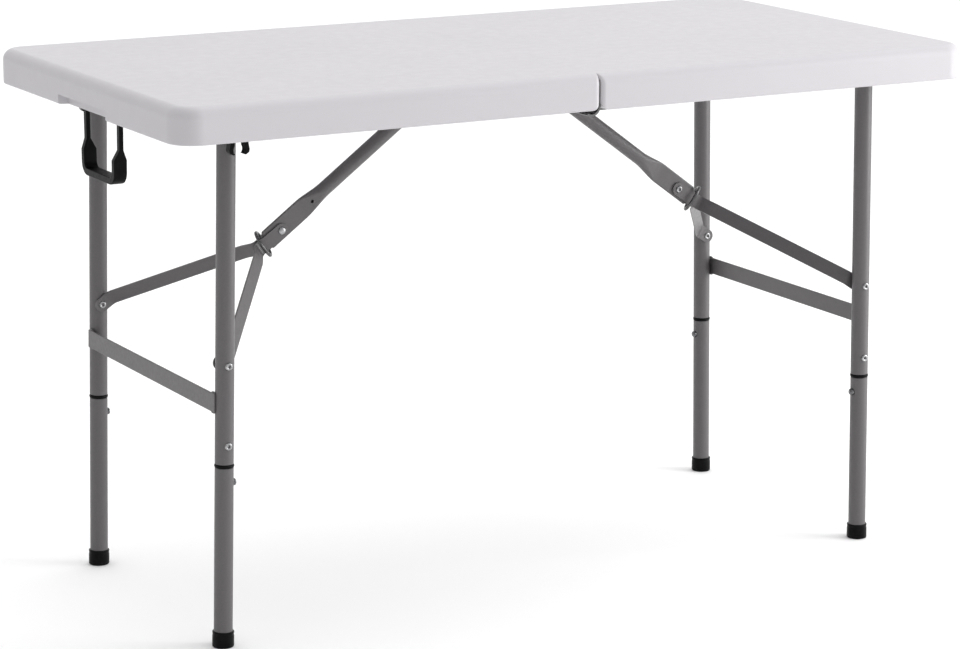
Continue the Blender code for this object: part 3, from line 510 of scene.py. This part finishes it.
def place(item, body, slot, node=None, smooth=40, material=None):
    """Finish a piece: smooth it, ride it on its body and give it its slot."""
    item.data.materials.clear()
    item.data.materials.append(MATERIALS[material or slot])
    item.data.shade_smooth()
    item.data.set_sharp_from_angle(angle=math.radians(smooth))
    modifier = item.modifiers.new("normals", "WEIGHTED_NORMAL")
    modifier.keep_sharp = True
    modifier.weight = 80
    apply_modifiers(item)
    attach(item, body)
    if node:
        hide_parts(node)
    return item


# ---------------------------------------------------------------- moulded top


def top_outline(inset):
    """Outline of a half, drawn in from its three outer sides but never from the seam."""
    reach = SEAM_SIDE_CORNER * (1 - inset / (EDGE_INSET * 1.08))
    x1 = HALF_LENGTH - inset
    y1 = HALF_WIDTH - inset
    corner = CORNER_RADIUS - inset
    start = []
    for i in range(9):
        angle = math.radians(90 * i / 8)
        start.append((SEAM + (1 - math.cos(angle)) * reach, -y1 + reach - reach * math.sin(angle)))
    points = list(start)
    points += arc((x1 - corner, -y1 + corner), corner, 270, 360, 14)
    points += arc((x1 - corner, y1 - corner), corner, 0, 90, 14)
    points += [(x, -y) for x, y in reversed(start)]
    return points


def edge_levels():
    """(height, inset) pairs up the skirt: a small round below and the wide rolled edge above."""
    levels = []
    for i in range(5):
        angle = math.radians(90 * i / 4)
        levels.append((SKIRT + FOOT_EDGE * (1 - math.cos(angle)), FOOT_EDGE * (1 - math.sin(angle))))
    for i in range(16):
        angle = math.radians(90 * i / 15)
        levels.append((HEIGHT - EDGE_DROP * (1 - math.sin(angle)), EDGE_INSET * (1 - math.cos(angle))))
    return levels


def pocket_outline():
    """Hollow under a half, inside its rim and open at the seam."""
    inner = HALF_WIDTH - RIM
    far = HALF_LENGTH - RIM
    outline = [(-PAST, -inner)]
    outline += arc((far - POCKET_CORNER, -inner + POCKET_CORNER), POCKET_CORNER, 270, 360, 10)
    outline += arc((far - POCKET_CORNER, inner - POCKET_CORNER), POCKET_CORNER, 0, 90, 10)
    outline.append((-PAST, inner))
    return outline


def seam_corner_outline():
    """What is cut from the skirt at the seam to leave a recessed face and a round lower corner."""
    middle = SEAM_RECESS + SEAM_CORNER
    outline = [(SEAM_RECESS - PAST, SKIRT - PAST), (middle, SKIRT - PAST)]
    outline += arc((middle, SKIRT + SEAM_CORNER), SEAM_CORNER, 270, 180, 12)
    outline.append((SEAM_RECESS - PAST, SKIRT + SEAM_CORNER))
    return outline


def notch_outline():
    """Cut-out in the left end's skirt, which leaves room for the carry handle."""
    back = HALF_LENGTH - NOTCH_DEPTH
    half = [(HALF_LENGTH + PAST, NOTCH_HALF), (HALF_LENGTH, NOTCH_HALF), (back, NOTCH_INNER_HALF)]
    return [(x, -y) for x, y in half] + half[::-1]


def dimples():
    """Shallow moulded cones in the underside, which tie the two skins of the top together."""
    shape = bmesh.new()
    profile = [(0.0, -0.002), (0.0098, -0.002), (0.0090, 0.0), (0.0052, 0.0042), (0.0, 0.0042)]
    for i in range(13):
        x = DIMPLE_FIRST_X + DIMPLE_PITCH * i
        if abs(x - PIVOT.x) < 0.020:
            continue
        for j in range(5):
            for sign in (-1, 1):
                y = sign * (DIMPLE_FIRST_Y + DIMPLE_PITCH * j)
                add_lathe(shape, profile, "Z", 20, Matrix.Translation((x, y, DECK_BOTTOM)))
    return shape


def soften_underside(item):
    """Round the moulded edges below the deck, leaving the seam's faces sharp."""
    shape = bmesh.new()
    shape.from_mesh(item.data)
    edges = []
    for edge in shape.edges:
        high = max(vert.co.z for vert in edge.verts)
        near = max(abs(vert.co.x) for vert in edge.verts)
        if len(edge.link_faces) != 2 or near < 0.003 or high > DECK_BOTTOM + 0.0045:
            continue
        if edge.calc_face_angle(0.0) > math.radians(50) and edge.calc_length() > 0.0012:
            edges.append(edge)
    bmesh.ops.bevel(
        shape, geom=edges, offset=0.0006, segments=2, profile=0.5, affect="EDGES", clamp_overlap=True
    )
    shape.to_mesh(item.data)
    shape.free()


def top_half(side, end_matrix):
    shape = loft([[(x, y, z) for x, y in top_outline(inset)] for z, inset in edge_levels()])
    item = to_object(f"{side}_top_shell", shape, end_matrix)
    carve(item, prism(pocket_outline(), SKIRT - PAST, DECK_BOTTOM), end_matrix)
    channel_low = (CHANNEL_START, -CHANNEL_HALF, DECK_BOTTOM - PAST)
    channel_high = (CHANNEL_END, CHANNEL_HALF, DECK_BOTTOM + CHANNEL_DEPTH)
    carve(item, block(channel_low, channel_high), end_matrix)
    for sign in (-1, 1):
        low, high = sorted((sign * STRAP_RECESS_INNER, sign * (HALF_WIDTH + PAST)))
        recess = block((-PAST, low, SKIRT - PAST), (SEAM_RECESS, high, STRAP_RECESS_TOP))
        carve(item, recess, end_matrix)
    seam_cut = prism(seam_corner_outline(), -HALF_WIDTH - PAST, HALF_WIDTH + PAST, "XZ")
    carve(item, seam_cut, end_matrix)
    if side == "left":
        carve(item, prism(notch_outline(), SKIRT - PAST, SKIRT + NOTCH_HEIGHT), end_matrix)
    carve(item, dimples(), end_matrix)
    soften_underside(item)
    place(item, f"{side}_half", "moulded_plastic", f"top_half_{side}", 38)


# ---------------------------------------------------------------- legs


def rivet_shape(start, end, shank, head, dome, hollow=0.0017):
    """A tubular rivet: shank from start to end, then a rounded head with a hollow middle."""
    profile = [(0.0, start), (shank, start), (shank, end)]
    for i in range(7):
        angle = math.radians(180 * i / 6)
        middle = (head + hollow) / 2
        reach = (head - hollow) / 2
        profile.append((middle + reach * math.cos(angle), end + dome * math.sin(angle) ** 0.8))
    profile += [(hollow, end - 0.0012), (0.0, end - 0.0012)]
    return profile


def upper_leg(name, body, axis):
    """Tube from the pivot, about which its end is rounded, down to the collar."""
    bottom = COLLAR_DOWN - COLLAR_HEIGHT / 2 - GAP
    shape = tube(TUBE_RADIUS, TUBE_RADIUS - TUBE_WALL, -bottom, PIVOT_END, "Z", 64)
    for vert in shape.verts:
        if vert.co.z > 0:
            drop = PIVOT_END - vert.co.z
            vert.co.z = math.sqrt(PIVOT_END**2 - vert.co.x**2) - drop
    item = to_object(f"{name}_upper_leg", shape, axis)
    carve(item, rod(PIVOT_BORE, -0.02, 0.02, "Y", 40), axis)
    for distance, start in ((along_leg(ARM_PIVOT_Z), -0.02), (COLLAR_DOWN - STUB_RIVET_ABOVE, 0.0)):
        spot = axis @ Matrix.Translation(-UP * distance)
        carve(item, rod(RIVET_HOLE, start, 0.02, "Y", 24), spot)
    place(item, body, "grey_paint", f"{name}_upper_tube")


def inner_stub(name, body, collar_place):
    """Tube inside the leg's joint, slotted for the button's travel."""
    wall = STUB_RADIUS - TUBE_WALL
    item = to_object(f"{name}_stub", tube(STUB_RADIUS, wall, -STUB_BELOW, STUB_ABOVE), collar_place)
    reach = BUTTON_RADIUS + GAP
    slot = arc((0.0, -BUTTON_BELOW), reach, 0, 180, 16)
    slot += [(-reach, -STUB_BELOW - PAST), (reach, -STUB_BELOW - PAST)]
    carve(item, prism(slot, -0.02, 0.0, "YZ"), collar_place)
    place(item, body, "plain_steel", f"{name}_inner_stub")


def collar(name, body, collar_place):
    """Ring with a rounded outer face."""
    half = COLLAR_HEIGHT / 2
    bulge = 0.0016
    profile = [(STUB_RADIUS + GAP, -half)]
    for i in range(9):
        angle = math.radians(-80 + 160 * i / 8)
        radius = COLLAR_RADIUS - bulge + bulge * math.cos(angle)
        profile.append((radius, half * math.sin(angle) / math.sin(math.radians(80))))
    profile.append((STUB_RADIUS + GAP, half))
    item = to_object(f"{name}_band", lathe(profile, "Z", 56), collar_place)
    place(item, body, "black_plastic", f"{name}_collar", 60)


def leg_rivets(name, body, axis):
    """One rivet through the stub and one through the brace arm's pivot."""
    rivets = (
        ("leg_rivet", "stub_rivet", 0.0088, COLLAR_DOWN - STUB_RIVET_ABOVE),
        ("brace_rivet", "arm_rivet", 0.0004 - TUBE_RADIUS, along_leg(ARM_PIVOT_Z)),
    )
    for piece, node, start, distance in rivets:
        shape = rivet_shape(start, TUBE_RADIUS + 0.0002, RIVET_SHANK, RIVET_HEAD, RIVET_DOME)
        spot = axis @ Matrix.Translation(-UP * distance)
        item = to_object(f"{name}_{piece}", lathe(shape, "Y", 32), spot)
        place(item, body, "plated_steel", f"{name}_{node}", 50)


def lower_leg(name, body, collar_place, button_place):
    low = COLLAR_DOWN - along_leg(FOOT_SEAT)
    high = -COLLAR_HEIGHT / 2 - GAP
    shape = tube(TUBE_RADIUS, TUBE_RADIUS - TUBE_WALL, low, high, "Z", 64)
    item = to_object(f"{name}_lower_leg", shape, collar_place)
    carve(item, rod(BUTTON_HOLE, 0, 0.02, "X", 28), button_place)
    place(item, body, "grey_paint", f"{name}_extension_tube")


def foot(name, body, collar_place):
    """Cap with a lip, a groove under it and a sole cut level with the floor."""
    bore = TUBE_RADIUS + 0.0001
    groove = FOOT_RADIUS - 0.0004
    top = COLLAR_DOWN - along_leg(FOOT_HEIGHT)
    seat = COLLAR_DOWN - along_leg(FOOT_SEAT) - GAP
    sole = COLLAR_DOWN - along_leg(0.0)
    profile = [(0.0, seat), (bore, seat), (bore, top + 0.0004), (bore + 0.0004, top)]
    profile += arc((FOOT_RADIUS - 0.0009, top - 0.0009), 0.0009, 90, 0, 5)
    profile += [(groove, top - 0.0040), (groove, top - 0.0052)]
    profile += [(FOOT_RADIUS, top - 0.0062), (FOOT_RADIUS, sole + 0.0020)]
    profile += arc((FOOT_RADIUS - 0.0016, sole + 0.0016), 0.0016, 0, -90, 6)
    profile += [(0.0060, sole), (0.0, sole)]
    shape = lathe(profile, "Z", 56)
    for vert in shape.verts:
        share = min(1.0, max(0.0, (sole + FOOT_SEAT - vert.co.z) / FOOT_SEAT))
        vert.co.z -= share * vert.co.x * math.tan(LEAN)
    item = to_object(f"{name}_foot", shape, collar_place)
    place(item, body, "black_plastic", f"{name}_foot_cap", 50)


def button(name, body, button_place):
    """Flange inside the tube and a domed pin through its hole."""
    start = 0.0065
    neck = 0.0073
    profile = [(0.0, start), (BUTTON_FLANGE, start), (BUTTON_FLANGE, neck), (BUTTON_RADIUS, neck)]
    for i in range(9):
        angle = math.radians(90 * i / 8)
        radius = BUTTON_RADIUS * math.cos(angle) ** 0.75 if i < 8 else 0.0
        profile.append((radius, BUTTON_FACE - BUTTON_DOME + BUTTON_DOME * math.sin(angle)))
    item = to_object(f"{name}_button_dome", lathe(profile, "X", 36), button_place)
    # The buttons take the darkened copy of the plating, which paints in their shade and dark reflection.
    place(item, body, "plated_steel", f"{name}_snap_button", 60, "shaded_button_steel")


def leg(side, row, leg_matrix, mirrored):
    """One leg from its pivot to its foot. A mirrored leg is a mirror image across Y."""
    name = f"{side}_{row}"
    axis = leg_matrix @ Matrix.Translation((0.0, LEG_Y, 0.0))
    if mirrored:
        axis = leg_matrix @ Matrix.Translation((0.0, -LEG_Y, 0.0)) @ MIRROR_Y
    collar_place = axis @ Matrix.Translation(-UP * COLLAR_DOWN)
    button_place = collar_place @ Matrix.Translation(-UP * BUTTON_BELOW) @ TURNED
    upper_leg(name, f"{side}_legs", axis)
    inner_stub(name, f"{side}_legs", collar_place)
    collar(name, f"{side}_legs", collar_place)
    leg_rivets(name, f"{side}_legs", axis)
    lower_leg(name, f"{name}_extension", collar_place, button_place)
    foot(name, f"{name}_extension", collar_place)
    button(name, f"{name}_button", button_place)


def weld(name, body, bar_spot, y, z):
    """Uneven painted bead along the end of the crossbar's edge, where it touches the tube."""
    inward = -math.copysign(1.0, y)
    face = TUBE_RADIUS + 0.0006
    sections = []
    for i in range(15):
        t = i / 14
        swell = math.sqrt(max(0.0, 1 - (2 * t - 1) ** 2))
        radius = 0.0003 + 0.0019 * swell * (1 + 0.10 * math.sin(21 * t))
        along = y + inward * (0.0005 + 0.0105 * t)
        loop = []
        for k in range(12):
            angle = 2 * math.pi * k / 12
            loop.append((face + radius * math.cos(angle), along, z + radius * math.sin(angle)))
        sections.append(loop)
    place(to_object(name, loft(sections), bar_spot), body, "grey_paint", None, 60)


def leg_frame(side, end_matrix):
    lean = Matrix.Translation(PIVOT) @ Matrix.Rotation(-LEAN, 4, "Y")
    leg_matrix = end_matrix @ lean
    legs = f"{side}_legs"
    inner = PIVOT_TUBE_RADIUS - 0.0015
    shape = tube(PIVOT_TUBE_RADIUS, inner, -PIVOT_TUBE_HALF, PIVOT_TUBE_HALF, "Y", 40)
    item = to_object(f"{side}_hinge_rod", shape, leg_matrix)
    place(item, legs, "grey_paint", f"{side}_pivot_tube")

    near = TUBE_RADIUS + GAP
    half = CROSSBAR_HEIGHT / 2
    reach = LEG_Y + 0.0005
    shape = block((near, -reach, -half), (near + BAR_THICKNESS, reach, half))
    bar_spot = leg_matrix @ Matrix.Translation(-UP * along_leg(CROSSBAR_Z))
    item = to_object(f"{side}_crossbar_flat", shape, bar_spot)
    soften(item, 0.0007, 3)
    place(item, legs, "grey_paint", f"{side}_crossbar")
    for row, y in (("front", -LEG_Y), ("rear", LEG_Y)):
        for edge in (-1, 1):
            weld(f"{side}_{row}_weld_{'low' if edge < 0 else 'high'}", legs, bar_spot, y, edge * half)
    for row in ("front", "rear"):
        mirrored = (row == "rear") != (side == "right")
        leg(side, row, leg_matrix, mirrored)


# ---------------------------------------------------------------- brace linkage


def brace_section(x, half_y, half_z, shift, steps=48):
    """Round, flattened or in between: a stadium whose ends keep the smaller radius."""
    radius = min(half_y, half_z)
    points = []
    for i in range(steps):
        angle = 2 * math.pi * (i + 0.5) / steps
        z = radius * math.sin(angle)
        z += math.copysign(half_z - radius, z)
        points.append((x, radius * math.cos(angle), z + shift))
    return points


def brace_sections():
    """Sections along the brace: round, then flattened to a plate, then narrowed to a tongue."""
    flat_y = PLATE_THICKNESS / 2
    flat_z = PLATE_WIDTH / 2
    tongue = TONGUE_WIDTH / 2
    sections = [
        brace_section(0.0030, BRACE_RADIUS - 0.0006, BRACE_RADIUS - 0.0006, 0.0),
        brace_section(0.0036, BRACE_RADIUS, BRACE_RADIUS, 0.0),
    ]
    for i in range(25):
        t = i / 24
        blend = t * t * (3 - 2 * t)
        half_y = BRACE_RADIUS + (flat_y - BRACE_RADIUS) * blend
        half_z = BRACE_RADIUS + (flat_z - BRACE_RADIUS) * blend
        x = BRACE_REACH - FLATTEN_START + FLATTEN_LENGTH * t
        sections.append(brace_section(x, half_y, half_z, 0.0))
    sections.append(brace_section(BRACE_REACH + 0.0220, flat_y, flat_z, 0.0))
    sections.append(brace_section(BRACE_REACH + 0.0237, flat_y, flat_z - 0.0012, 0.0))
    for i in range(7):
        t = i / 6
        blend = t * t * (3 - 2 * t)
        half_z = flat_z - 0.0022 + (tongue - flat_z + 0.0022) * blend
        x = BRACE_REACH + 0.0242 + 0.0060 * t
        sections.append(brace_section(x, flat_y, half_z, -ELBOW_DROP * blend))
    end = BRACE_REACH + 0.0385
    sections.append(brace_section(end - 0.0005, flat_y, tongue, -ELBOW_DROP))
    sections.append(brace_section(end, flat_y - 0.0004, tongue - 0.0005, -ELBOW_DROP))
    return sections


def brace_tube(side, brace_matrix):
    """The brace with its cross pin, its elbow hole and the vent hole in one face."""
    item = to_object(f"{side}_brace_bar", loft(brace_sections()), brace_matrix)
    carve(item, tube(0.006, 0.0042, -0.034, 0.034, "Y", 32), brace_matrix, "UNION")
    carve(item, rod(0.0045, -0.033, 0.033, "Y", 32), brace_matrix, "UNION")
    elbow_hole = (ELBOW_HOLE, -0.03, BRACE_REACH, -ELBOW_DROP)
    vent_hole = (VENT_RADIUS, 0.0, BRACE_REACH - VENT_BEFORE_ELBOW, 0.0)
    for radius, low, x, z in (elbow_hole, vent_hole):
        carve(item, rod(radius, low, 0.03, "Y", 28), brace_matrix @ Matrix.Translation((x, 0.0, z)))
    place(item, f"{side}_brace", "grey_paint", f"{side}_brace_tube", 35)


def elbow_rivet(side, elbow_spot):
    """Rivet with a domed head on one side and a rolled hollow end on the other."""
    face = PLATE_THICKNESS / 2 + GAP + BAR_THICKNESS + 0.0001
    rolled = rivet_shape(0.0, face, 0.0040, 0.0050, 0.0019, 0.0021)[2:]
    profile = [(radius, -height) for radius, height in reversed(rolled)]
    profile += [(0.0040, face), (0.0055, face)]
    for i in range(9):
        angle = math.radians(90 * i / 8)
        radius = 0.0053 * math.cos(angle) if i < 8 else 0.0
        profile.append((radius, face + 0.0004 + 0.0019 * math.sin(angle)))
    item = to_object(f"{side}_elbow_rivet_heads", lathe(profile, "Y", 36), elbow_spot)
    place(item, f"{side}_brace", "plated_steel", f"{side}_elbow_rivet", 50)


def brace(side, end_matrix):
    brace_matrix = end_matrix @ Matrix.Translation(BRACE_PIVOT) @ Matrix.Rotation(BRACE_ANGLE, 4, "Y")
    elbow_spot = brace_matrix @ Matrix.Translation((BRACE_REACH, 0.0, -ELBOW_DROP))
    arms_matrix = elbow_spot @ Matrix.Rotation(ARM_ANGLE - BRACE_ANGLE, 4, "Y")
    brace_tube(side, brace_matrix)
    elbow_rivet(side, elbow_spot)
    for row, outward in (("front", -1), ("rear", 1)):
        sign = outward if side == "right" else -outward
        brace_arm(f"{side}_{row}", side, sign, arms_matrix)
    lock_ring(side, brace_matrix)


def smooth_path(points, radius, steps=6):
    """Round the corners of a flat path of (x, y) points."""
    result = [points[0]]
    for before, corner, after in zip(points, points[1:], points[2:]):
        corner_v = Vector(corner)
        back = (Vector(before) - corner_v).normalized()
        ahead = (Vector(after) - corner_v).normalized()
        reach = min(radius, (Vector(before) - corner_v).length / 2, (Vector(after) - corner_v).length / 2)
        for i in range(steps + 1):
            t = i / steps
            a = corner_v + back * reach * (1 - t)
            b = corner_v + ahead * reach * t
            result.append(tuple(a * (1 - t) + b * t))
    result.append(points[-1])
    return result


def arm_stations(path, half):
    """(x, y, half width, angle before, angle after) along an arm, with a half-round at each end."""
    rounding = [math.radians(90 * i / 9) for i in range(1, 9)]
    start_x, start_y = path[0]
    end_x, end_y = path[-1]
    stations = []
    for angle in rounding:
        stations.append((start_x - half * math.cos(angle), start_y, half * math.sin(angle), 0.0, 0.0))
    for i, (x, y) in enumerate(path):
        before = path[max(i - 1, 0)]
        after = path[min(i + 1, len(path) - 1)]
        first = math.atan2(y - before[1], x - before[0]) if i else 0.0
        second = math.atan2(after[1] - y, after[0] - x) if i < len(path) - 1 else 0.0
        stations.append((x, y, half, first, second))
    for angle in reversed(rounding):
        stations.append((end_x + half * math.cos(angle), end_y, half * math.sin(angle), 0.0, 0.0))
    return stations


def brace_arm(name, side, sign, arms_matrix):
    """Bent flat bar: beside the plate, then out to the leg, then along it."""
    beside = PLATE_THICKNESS / 2 + GAP + BAR_THICKNESS / 2
    at_leg = LEG_Y - TUBE_RADIUS - 0.0005 - BAR_THICKNESS / 2
    turn = ARM_REACH - 0.016
    path = [(0.0, beside), (0.042, beside), (0.054, 0.024), (turn, at_leg), (ARM_REACH, at_leg)]
    sections = []
    for x, y, half, first, second in arm_stations(smooth_path(path, 0.006), ARM_WIDTH / 2):
        normal = (first + second) / 2 + math.pi / 2
        reach = BAR_THICKNESS / 2 / math.cos((second - first) / 2)
        dx = reach * math.cos(normal)
        dy = reach * math.sin(normal)
        sections.append(
            [
                (x + dx, sign * (y + dy), half),
                (x + dx, sign * (y + dy), -half),
                (x - dx, sign * (y - dy), -half),
                (x - dx, sign * (y - dy), half),
            ]
        )
    item = to_object(f"{name}_arm", loft(sections), arms_matrix)
    carve(item, rod(ELBOW_HOLE, -0.02, 0.02, "Y", 28), arms_matrix)
    soften(item, 0.0005, 2, 50)
    place(item, f"{side}_arms", "grey_paint", f"{name}_brace_arm", 40)

    face = at_leg - BAR_THICKNESS / 2
    turned = Matrix.Rotation(math.pi if sign > 0 else 0.0, 4, "Z")
    spot = arms_matrix @ Matrix.Translation((ARM_REACH, sign * face, 0.0)) @ turned
    profile = rivet_shape(-0.001, -0.0001, 0.0046, 0.0051, RIVET_DOME)
    item = to_object(f"{name}_arm_head", lathe(profile, "Y", 32), spot)
    place(item, f"{side}_arms", "plated_steel", None, 50)


def lock_ring(side, brace_matrix):
    """Closed wire loop round the brace, hanging a little askew."""
    straight = RING_HALF_HEIGHT - RING_HALF_WIDTH
    path = arc((0.0, straight), RING_HALF_WIDTH, 0, 180, 24)
    path += arc((0.0, -straight), RING_HALF_WIDTH, 180, 360, 24)
    shape = bmesh.new()
    loops = []
    count = len(path)
    for i, (y, z) in enumerate(path):
        after = Vector(path[(i + 1) % count])
        before = Vector(path[i - 1])
        ahead = (after - before).normalized()
        out = Vector((0.0, ahead.y, -ahead.x))
        loop = []
        for k in range(14):
            angle = 2 * math.pi * k / 14
            point = Vector((RING_WIRE * math.sin(angle), y, z)) + out * RING_WIRE * math.cos(angle)
            loop.append(shape.verts.new(point))
        loops.append(loop)
    for i in range(count):
        first = loops[i]
        second = loops[(i + 1) % count]
        for k in range(14):
            m = (k + 1) % 14
            shape.faces.new((first[k], first[m], second[m], second[k]))
    spot = brace_matrix @ Matrix.Translation((BRACE_REACH + RING_PAST_ELBOW, 0.0, 0.0))
    spot = spot @ Matrix.Rotation(math.radians(RING_TILT), 4, "Z")
    item = to_object(f"{side}_wire_ring", shape, spot)
    place(item, f"{side}_ring", "plated_steel", f"{side}_lock_ring", 70, "ring_steel")


# ---------------------------------------------------------------- handle and clip


def handle():
    """Bail: a wide grip on two narrow arms, with a shoulder between them."""
    thick = 0.0095 / 2
    grip_y = 0.0500
    arm_y = 0.0550
    bend = 0.013
    grip = 0.0185
    low = 0.5955 + thick
    stations = [(0.0, low, grip, 0.0)]
    for i in range(11):
        angle = math.radians(9 * i)
        y = grip_y - bend + bend * math.sin(angle)
        z = low + bend - bend * math.cos(angle)
        stations.append((y, z, grip, angle))
    stations.append((grip_y + 0.0004, 0.629, grip, math.pi / 2))
    stations.append((arm_y - 0.0006, 0.643, 0.006, math.pi / 2))
    stations.append((arm_y, HANDLE.z, 0.006, math.pi / 2))
    run = [(-y, z, width, -angle) for y, z, width, angle in reversed(stations[1:])] + stations
    sections = []
    for y, z, width, angle in run:
        ny = -math.sin(angle) * thick
        nz = math.cos(angle) * thick
        sections.append(
            [
                (-width / 2, y + ny, z + nz - HANDLE.z),
                (width / 2, y + ny, z + nz - HANDLE.z),
                (width / 2, y - ny, z - nz - HANDLE.z),
                (-width / 2, y - ny, z - nz - HANDLE.z),
            ]
        )
    spot = Matrix.Translation(HANDLE)
    item = to_object("bail_handle", loft(sections), spot)
    soften(item, 0.0011, 3, 35)
    for sign in (-1, 1):
        near, far = sorted((sign * (arm_y - thick), sign * (arm_y + thick)))
        carve(item, rod(0.0040, near, far, "Y", 32), spot, "UNION")
        near, far = sorted((sign * arm_y, sign * 0.0665))
        carve(item, rod(0.0027, near, far, "Y", 24), spot, "UNION")
    place(item, "handle", "black_plastic", "carry_handle", 45)


def closing_clip():
    """Two barbed jaws under the pivot tube, which snap over the other half's tube."""
    z = PIVOT.z
    mirrored_z = 2 * HINGE.z - z
    throat = 0.0078
    outer = throat + 0.0055
    bottom = 0.660
    bore = PIVOT_TUBE_RADIUS + 0.0006
    half = [
        (outer, DECK_BOTTOM - GAP),
        (outer, z - 0.006),
        (outer - 0.0015, mirrored_z + 0.012),
        (outer + 0.0008, mirrored_z),
        (outer, bottom + 0.003),
        (throat + 0.001, bottom),
        (throat - 0.0022, mirrored_z - 0.0055),
    ]
    half += arc((0.0, mirrored_z), bore, -35, 35, 10)
    half += [(0.0060, z - 0.0130), (0.0, z - 0.0118)]
    outline = [(-PIVOT.x + a, b) for a, b in half]
    outline += [(-PIVOT.x - a, b) for a, b in reversed(half[:-1])]
    item = to_object("clip_jaws", prism(outline, -0.246, -0.234, "XZ"), Matrix.Identity(4))
    carve(item, rod(bore, -0.02, 0.02, "Y", 40), Matrix.Translation((-PIVOT.x, -0.240, z)))
    soften(item, 0.0007, 3, 35)
    place(item, "left_half", "black_plastic", "closing_clip", 45)


# ---------------------------------------------------------------- small fixings


def screw(name, body, x, y, z):
    """Cross-head screw seen from below."""
    head = 0.0042
    dome = 0.0021
    profile = [(0.0, 0.0005), (head, 0.0005), (head, 0.0)]
    for degrees in (15, 35, 55, 75):
        angle = math.radians(degrees)
        profile.append((head * math.cos(angle), -dome * math.sin(angle)))
    profile.append((0.0, -dome))
    spot = Matrix.Translation((x, y, z))
    item = to_object(name, lathe(profile, "Z", 28), spot)
    for half_x, half_y in ((0.0021, 0.00045), (0.00045, 0.0021)):
        carve(item, block((-half_x, -half_y, -0.003), (half_x, half_y, -0.0011)), spot)
    place(item, body, "plated_steel", None, 40)


def fixings():
    flange = DECK_BOTTOM - GAP - 0.002
    for side, sign in (("left", -1), ("right", 1)):
        for row, y in (("front", -0.2735), ("rear", 0.2735)):
            for k, x in enumerate((0.060, 0.220, 0.380, 0.540)):
                screw(f"{side}_{row}_rail_screw_{k}", f"{side}_half", sign * x, y, flange - 0.0001)
        for k, y in enumerate((-0.0345, 0.0345)):
            x = sign * BRACE_PIVOT.x
            screw(f"{side}_bracket_screw_{k}", f"{side}_half", x, y, flange - 0.0003)
    for k, y in enumerate((-0.0695, 0.0695)):
        screw(f"handle_screw_{k}", "left_half", HANDLE.x, y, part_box("handle_bracket")[1].z - 0.0309)


# ---------------------------------------------------------------- stage


def studio_floor():
    mesh = bpy.data.meshes.new("studio_floor")
    shape = bmesh.new()
    bmesh.ops.create_grid(shape, x_segments=1, y_segments=1, size=30.0)
    shape.to_mesh(mesh)
    shape.free()
    floor = bpy.data.objects.new("studio_floor", mesh)
    bpy.context.scene.collection.objects.link(floor)
    floor.location = (0.0, 0.0, -0.0002)
    paper = Nodes("studio_paper", (0.95, 0.95, 0.95), 0.9, Specular_IOR_Level=0.1)
    mesh.materials.append(paper.material)


def surroundings():
    """White world, brighter towards the right, the back and the ceiling."""
    world = bpy.data.worlds.new("studio")
    bpy.context.scene.world = world
    world.use_nodes = True
    tree = world.node_tree
    background = tree.nodes["Background"]
    background.inputs["Color"].default_value = (1.0, 1.0, 1.0, 1.0)
    coords = tree.nodes.new("ShaderNodeTexCoord")
    lighter = tree.nodes.new("ShaderNodeVectorMath")
    lighter.operation = "DOT_PRODUCT"
    lighter.inputs[1].default_value = (0.72, 0.45, 0.53)
    strength = tree.nodes.new("ShaderNodeMapRange")
    strength.inputs["From Min"].default_value = -1.0
    strength.inputs["From Max"].default_value = 1.0
    strength.inputs["To Min"].default_value = 0.42
    strength.inputs["To Max"].default_value = 1.20
    tree.links.new(coords.outputs["Generated"], lighter.inputs[0])
    tree.links.new(lighter.outputs["Value"], strength.inputs["Value"])
    tree.links.new(strength.outputs["Result"], background.inputs["Strength"])


def add_light(name, kind, energy, location, direction):
    data = bpy.data.lights.new(name, kind)
    data.energy = energy
    item = bpy.data.objects.new(name, data)
    bpy.context.scene.collection.objects.link(item)
    item.location = location
    item.rotation_euler = direction.to_track_quat("-Z", "Y").to_euler()
    return data


def lights():
    """Wide overhead light and a softbox on the right."""
    overhead = add_light("overhead", "SUN", 0.80, (0.0, 0.0, 0.0), Vector((-0.30, -0.20, -1.0)))
    overhead.angle = math.radians(70)
    spot = Vector((2.7, -1.6, 1.2))
    softbox = add_light("side_light", "AREA", 66.0, spot, Vector((0.0, 0.0, 0.5)) - spot)
    softbox.shape = "RECTANGLE"
    softbox.size = 1.6
    softbox.size_y = 2.2


def colour_view():
    view = bpy.context.scene.view_settings
    view.view_transform = "Standard"
    view.look = "None"
    view.exposure = 0.0
    view.gamma = 1.0


def camera():
    yaw = 0.51857
    pitch = 0.2294
    roll = 0.00527
    forward = Vector(
        (math.sin(yaw) * math.cos(pitch), math.cos(yaw) * math.cos(pitch), -math.sin(pitch))
    )
    right = Vector((math.cos(yaw), -math.sin(yaw), 0.0))
    up = right.cross(forward)
    rolled_right = right * math.cos(roll) + up * math.sin(roll)
    rolled_up = up * math.cos(roll) - right * math.sin(roll)
    data = bpy.data.cameras.new("camera")
    data.sensor_width = 36.0
    data.sensor_fit = "HORIZONTAL"
    data.lens = 120.27
    data.clip_end = 100.0
    item = bpy.data.objects.new("camera", data)
    bpy.context.scene.collection.objects.link(item)
    turn = Matrix((rolled_right, rolled_up, -forward)).transposed().to_4x4()
    item.matrix_world = Matrix.Translation((-2.2111, -3.8602, 1.37347)) @ turn
    bpy.context.scene.camera = item


def main():
    studio_floor()
    surroundings()
    lights()
    colour_view()
    camera()
    for side, end_matrix in (("left", TURNED), ("right", Matrix.Identity(4))):
        top_half(side, end_matrix)
        leg_frame(side, end_matrix)
        brace(side, end_matrix)
    handle()
    closing_clip()
    fixings()
    for node, item in frame["nodes"].items():
        slot = next(s["material_slot"] for s in frame["record"]["subparts"] if s["node"] == node)
        for index in range(len(item.material_slots)):
            item.material_slots[index].material = MATERIALS[slot]


main()
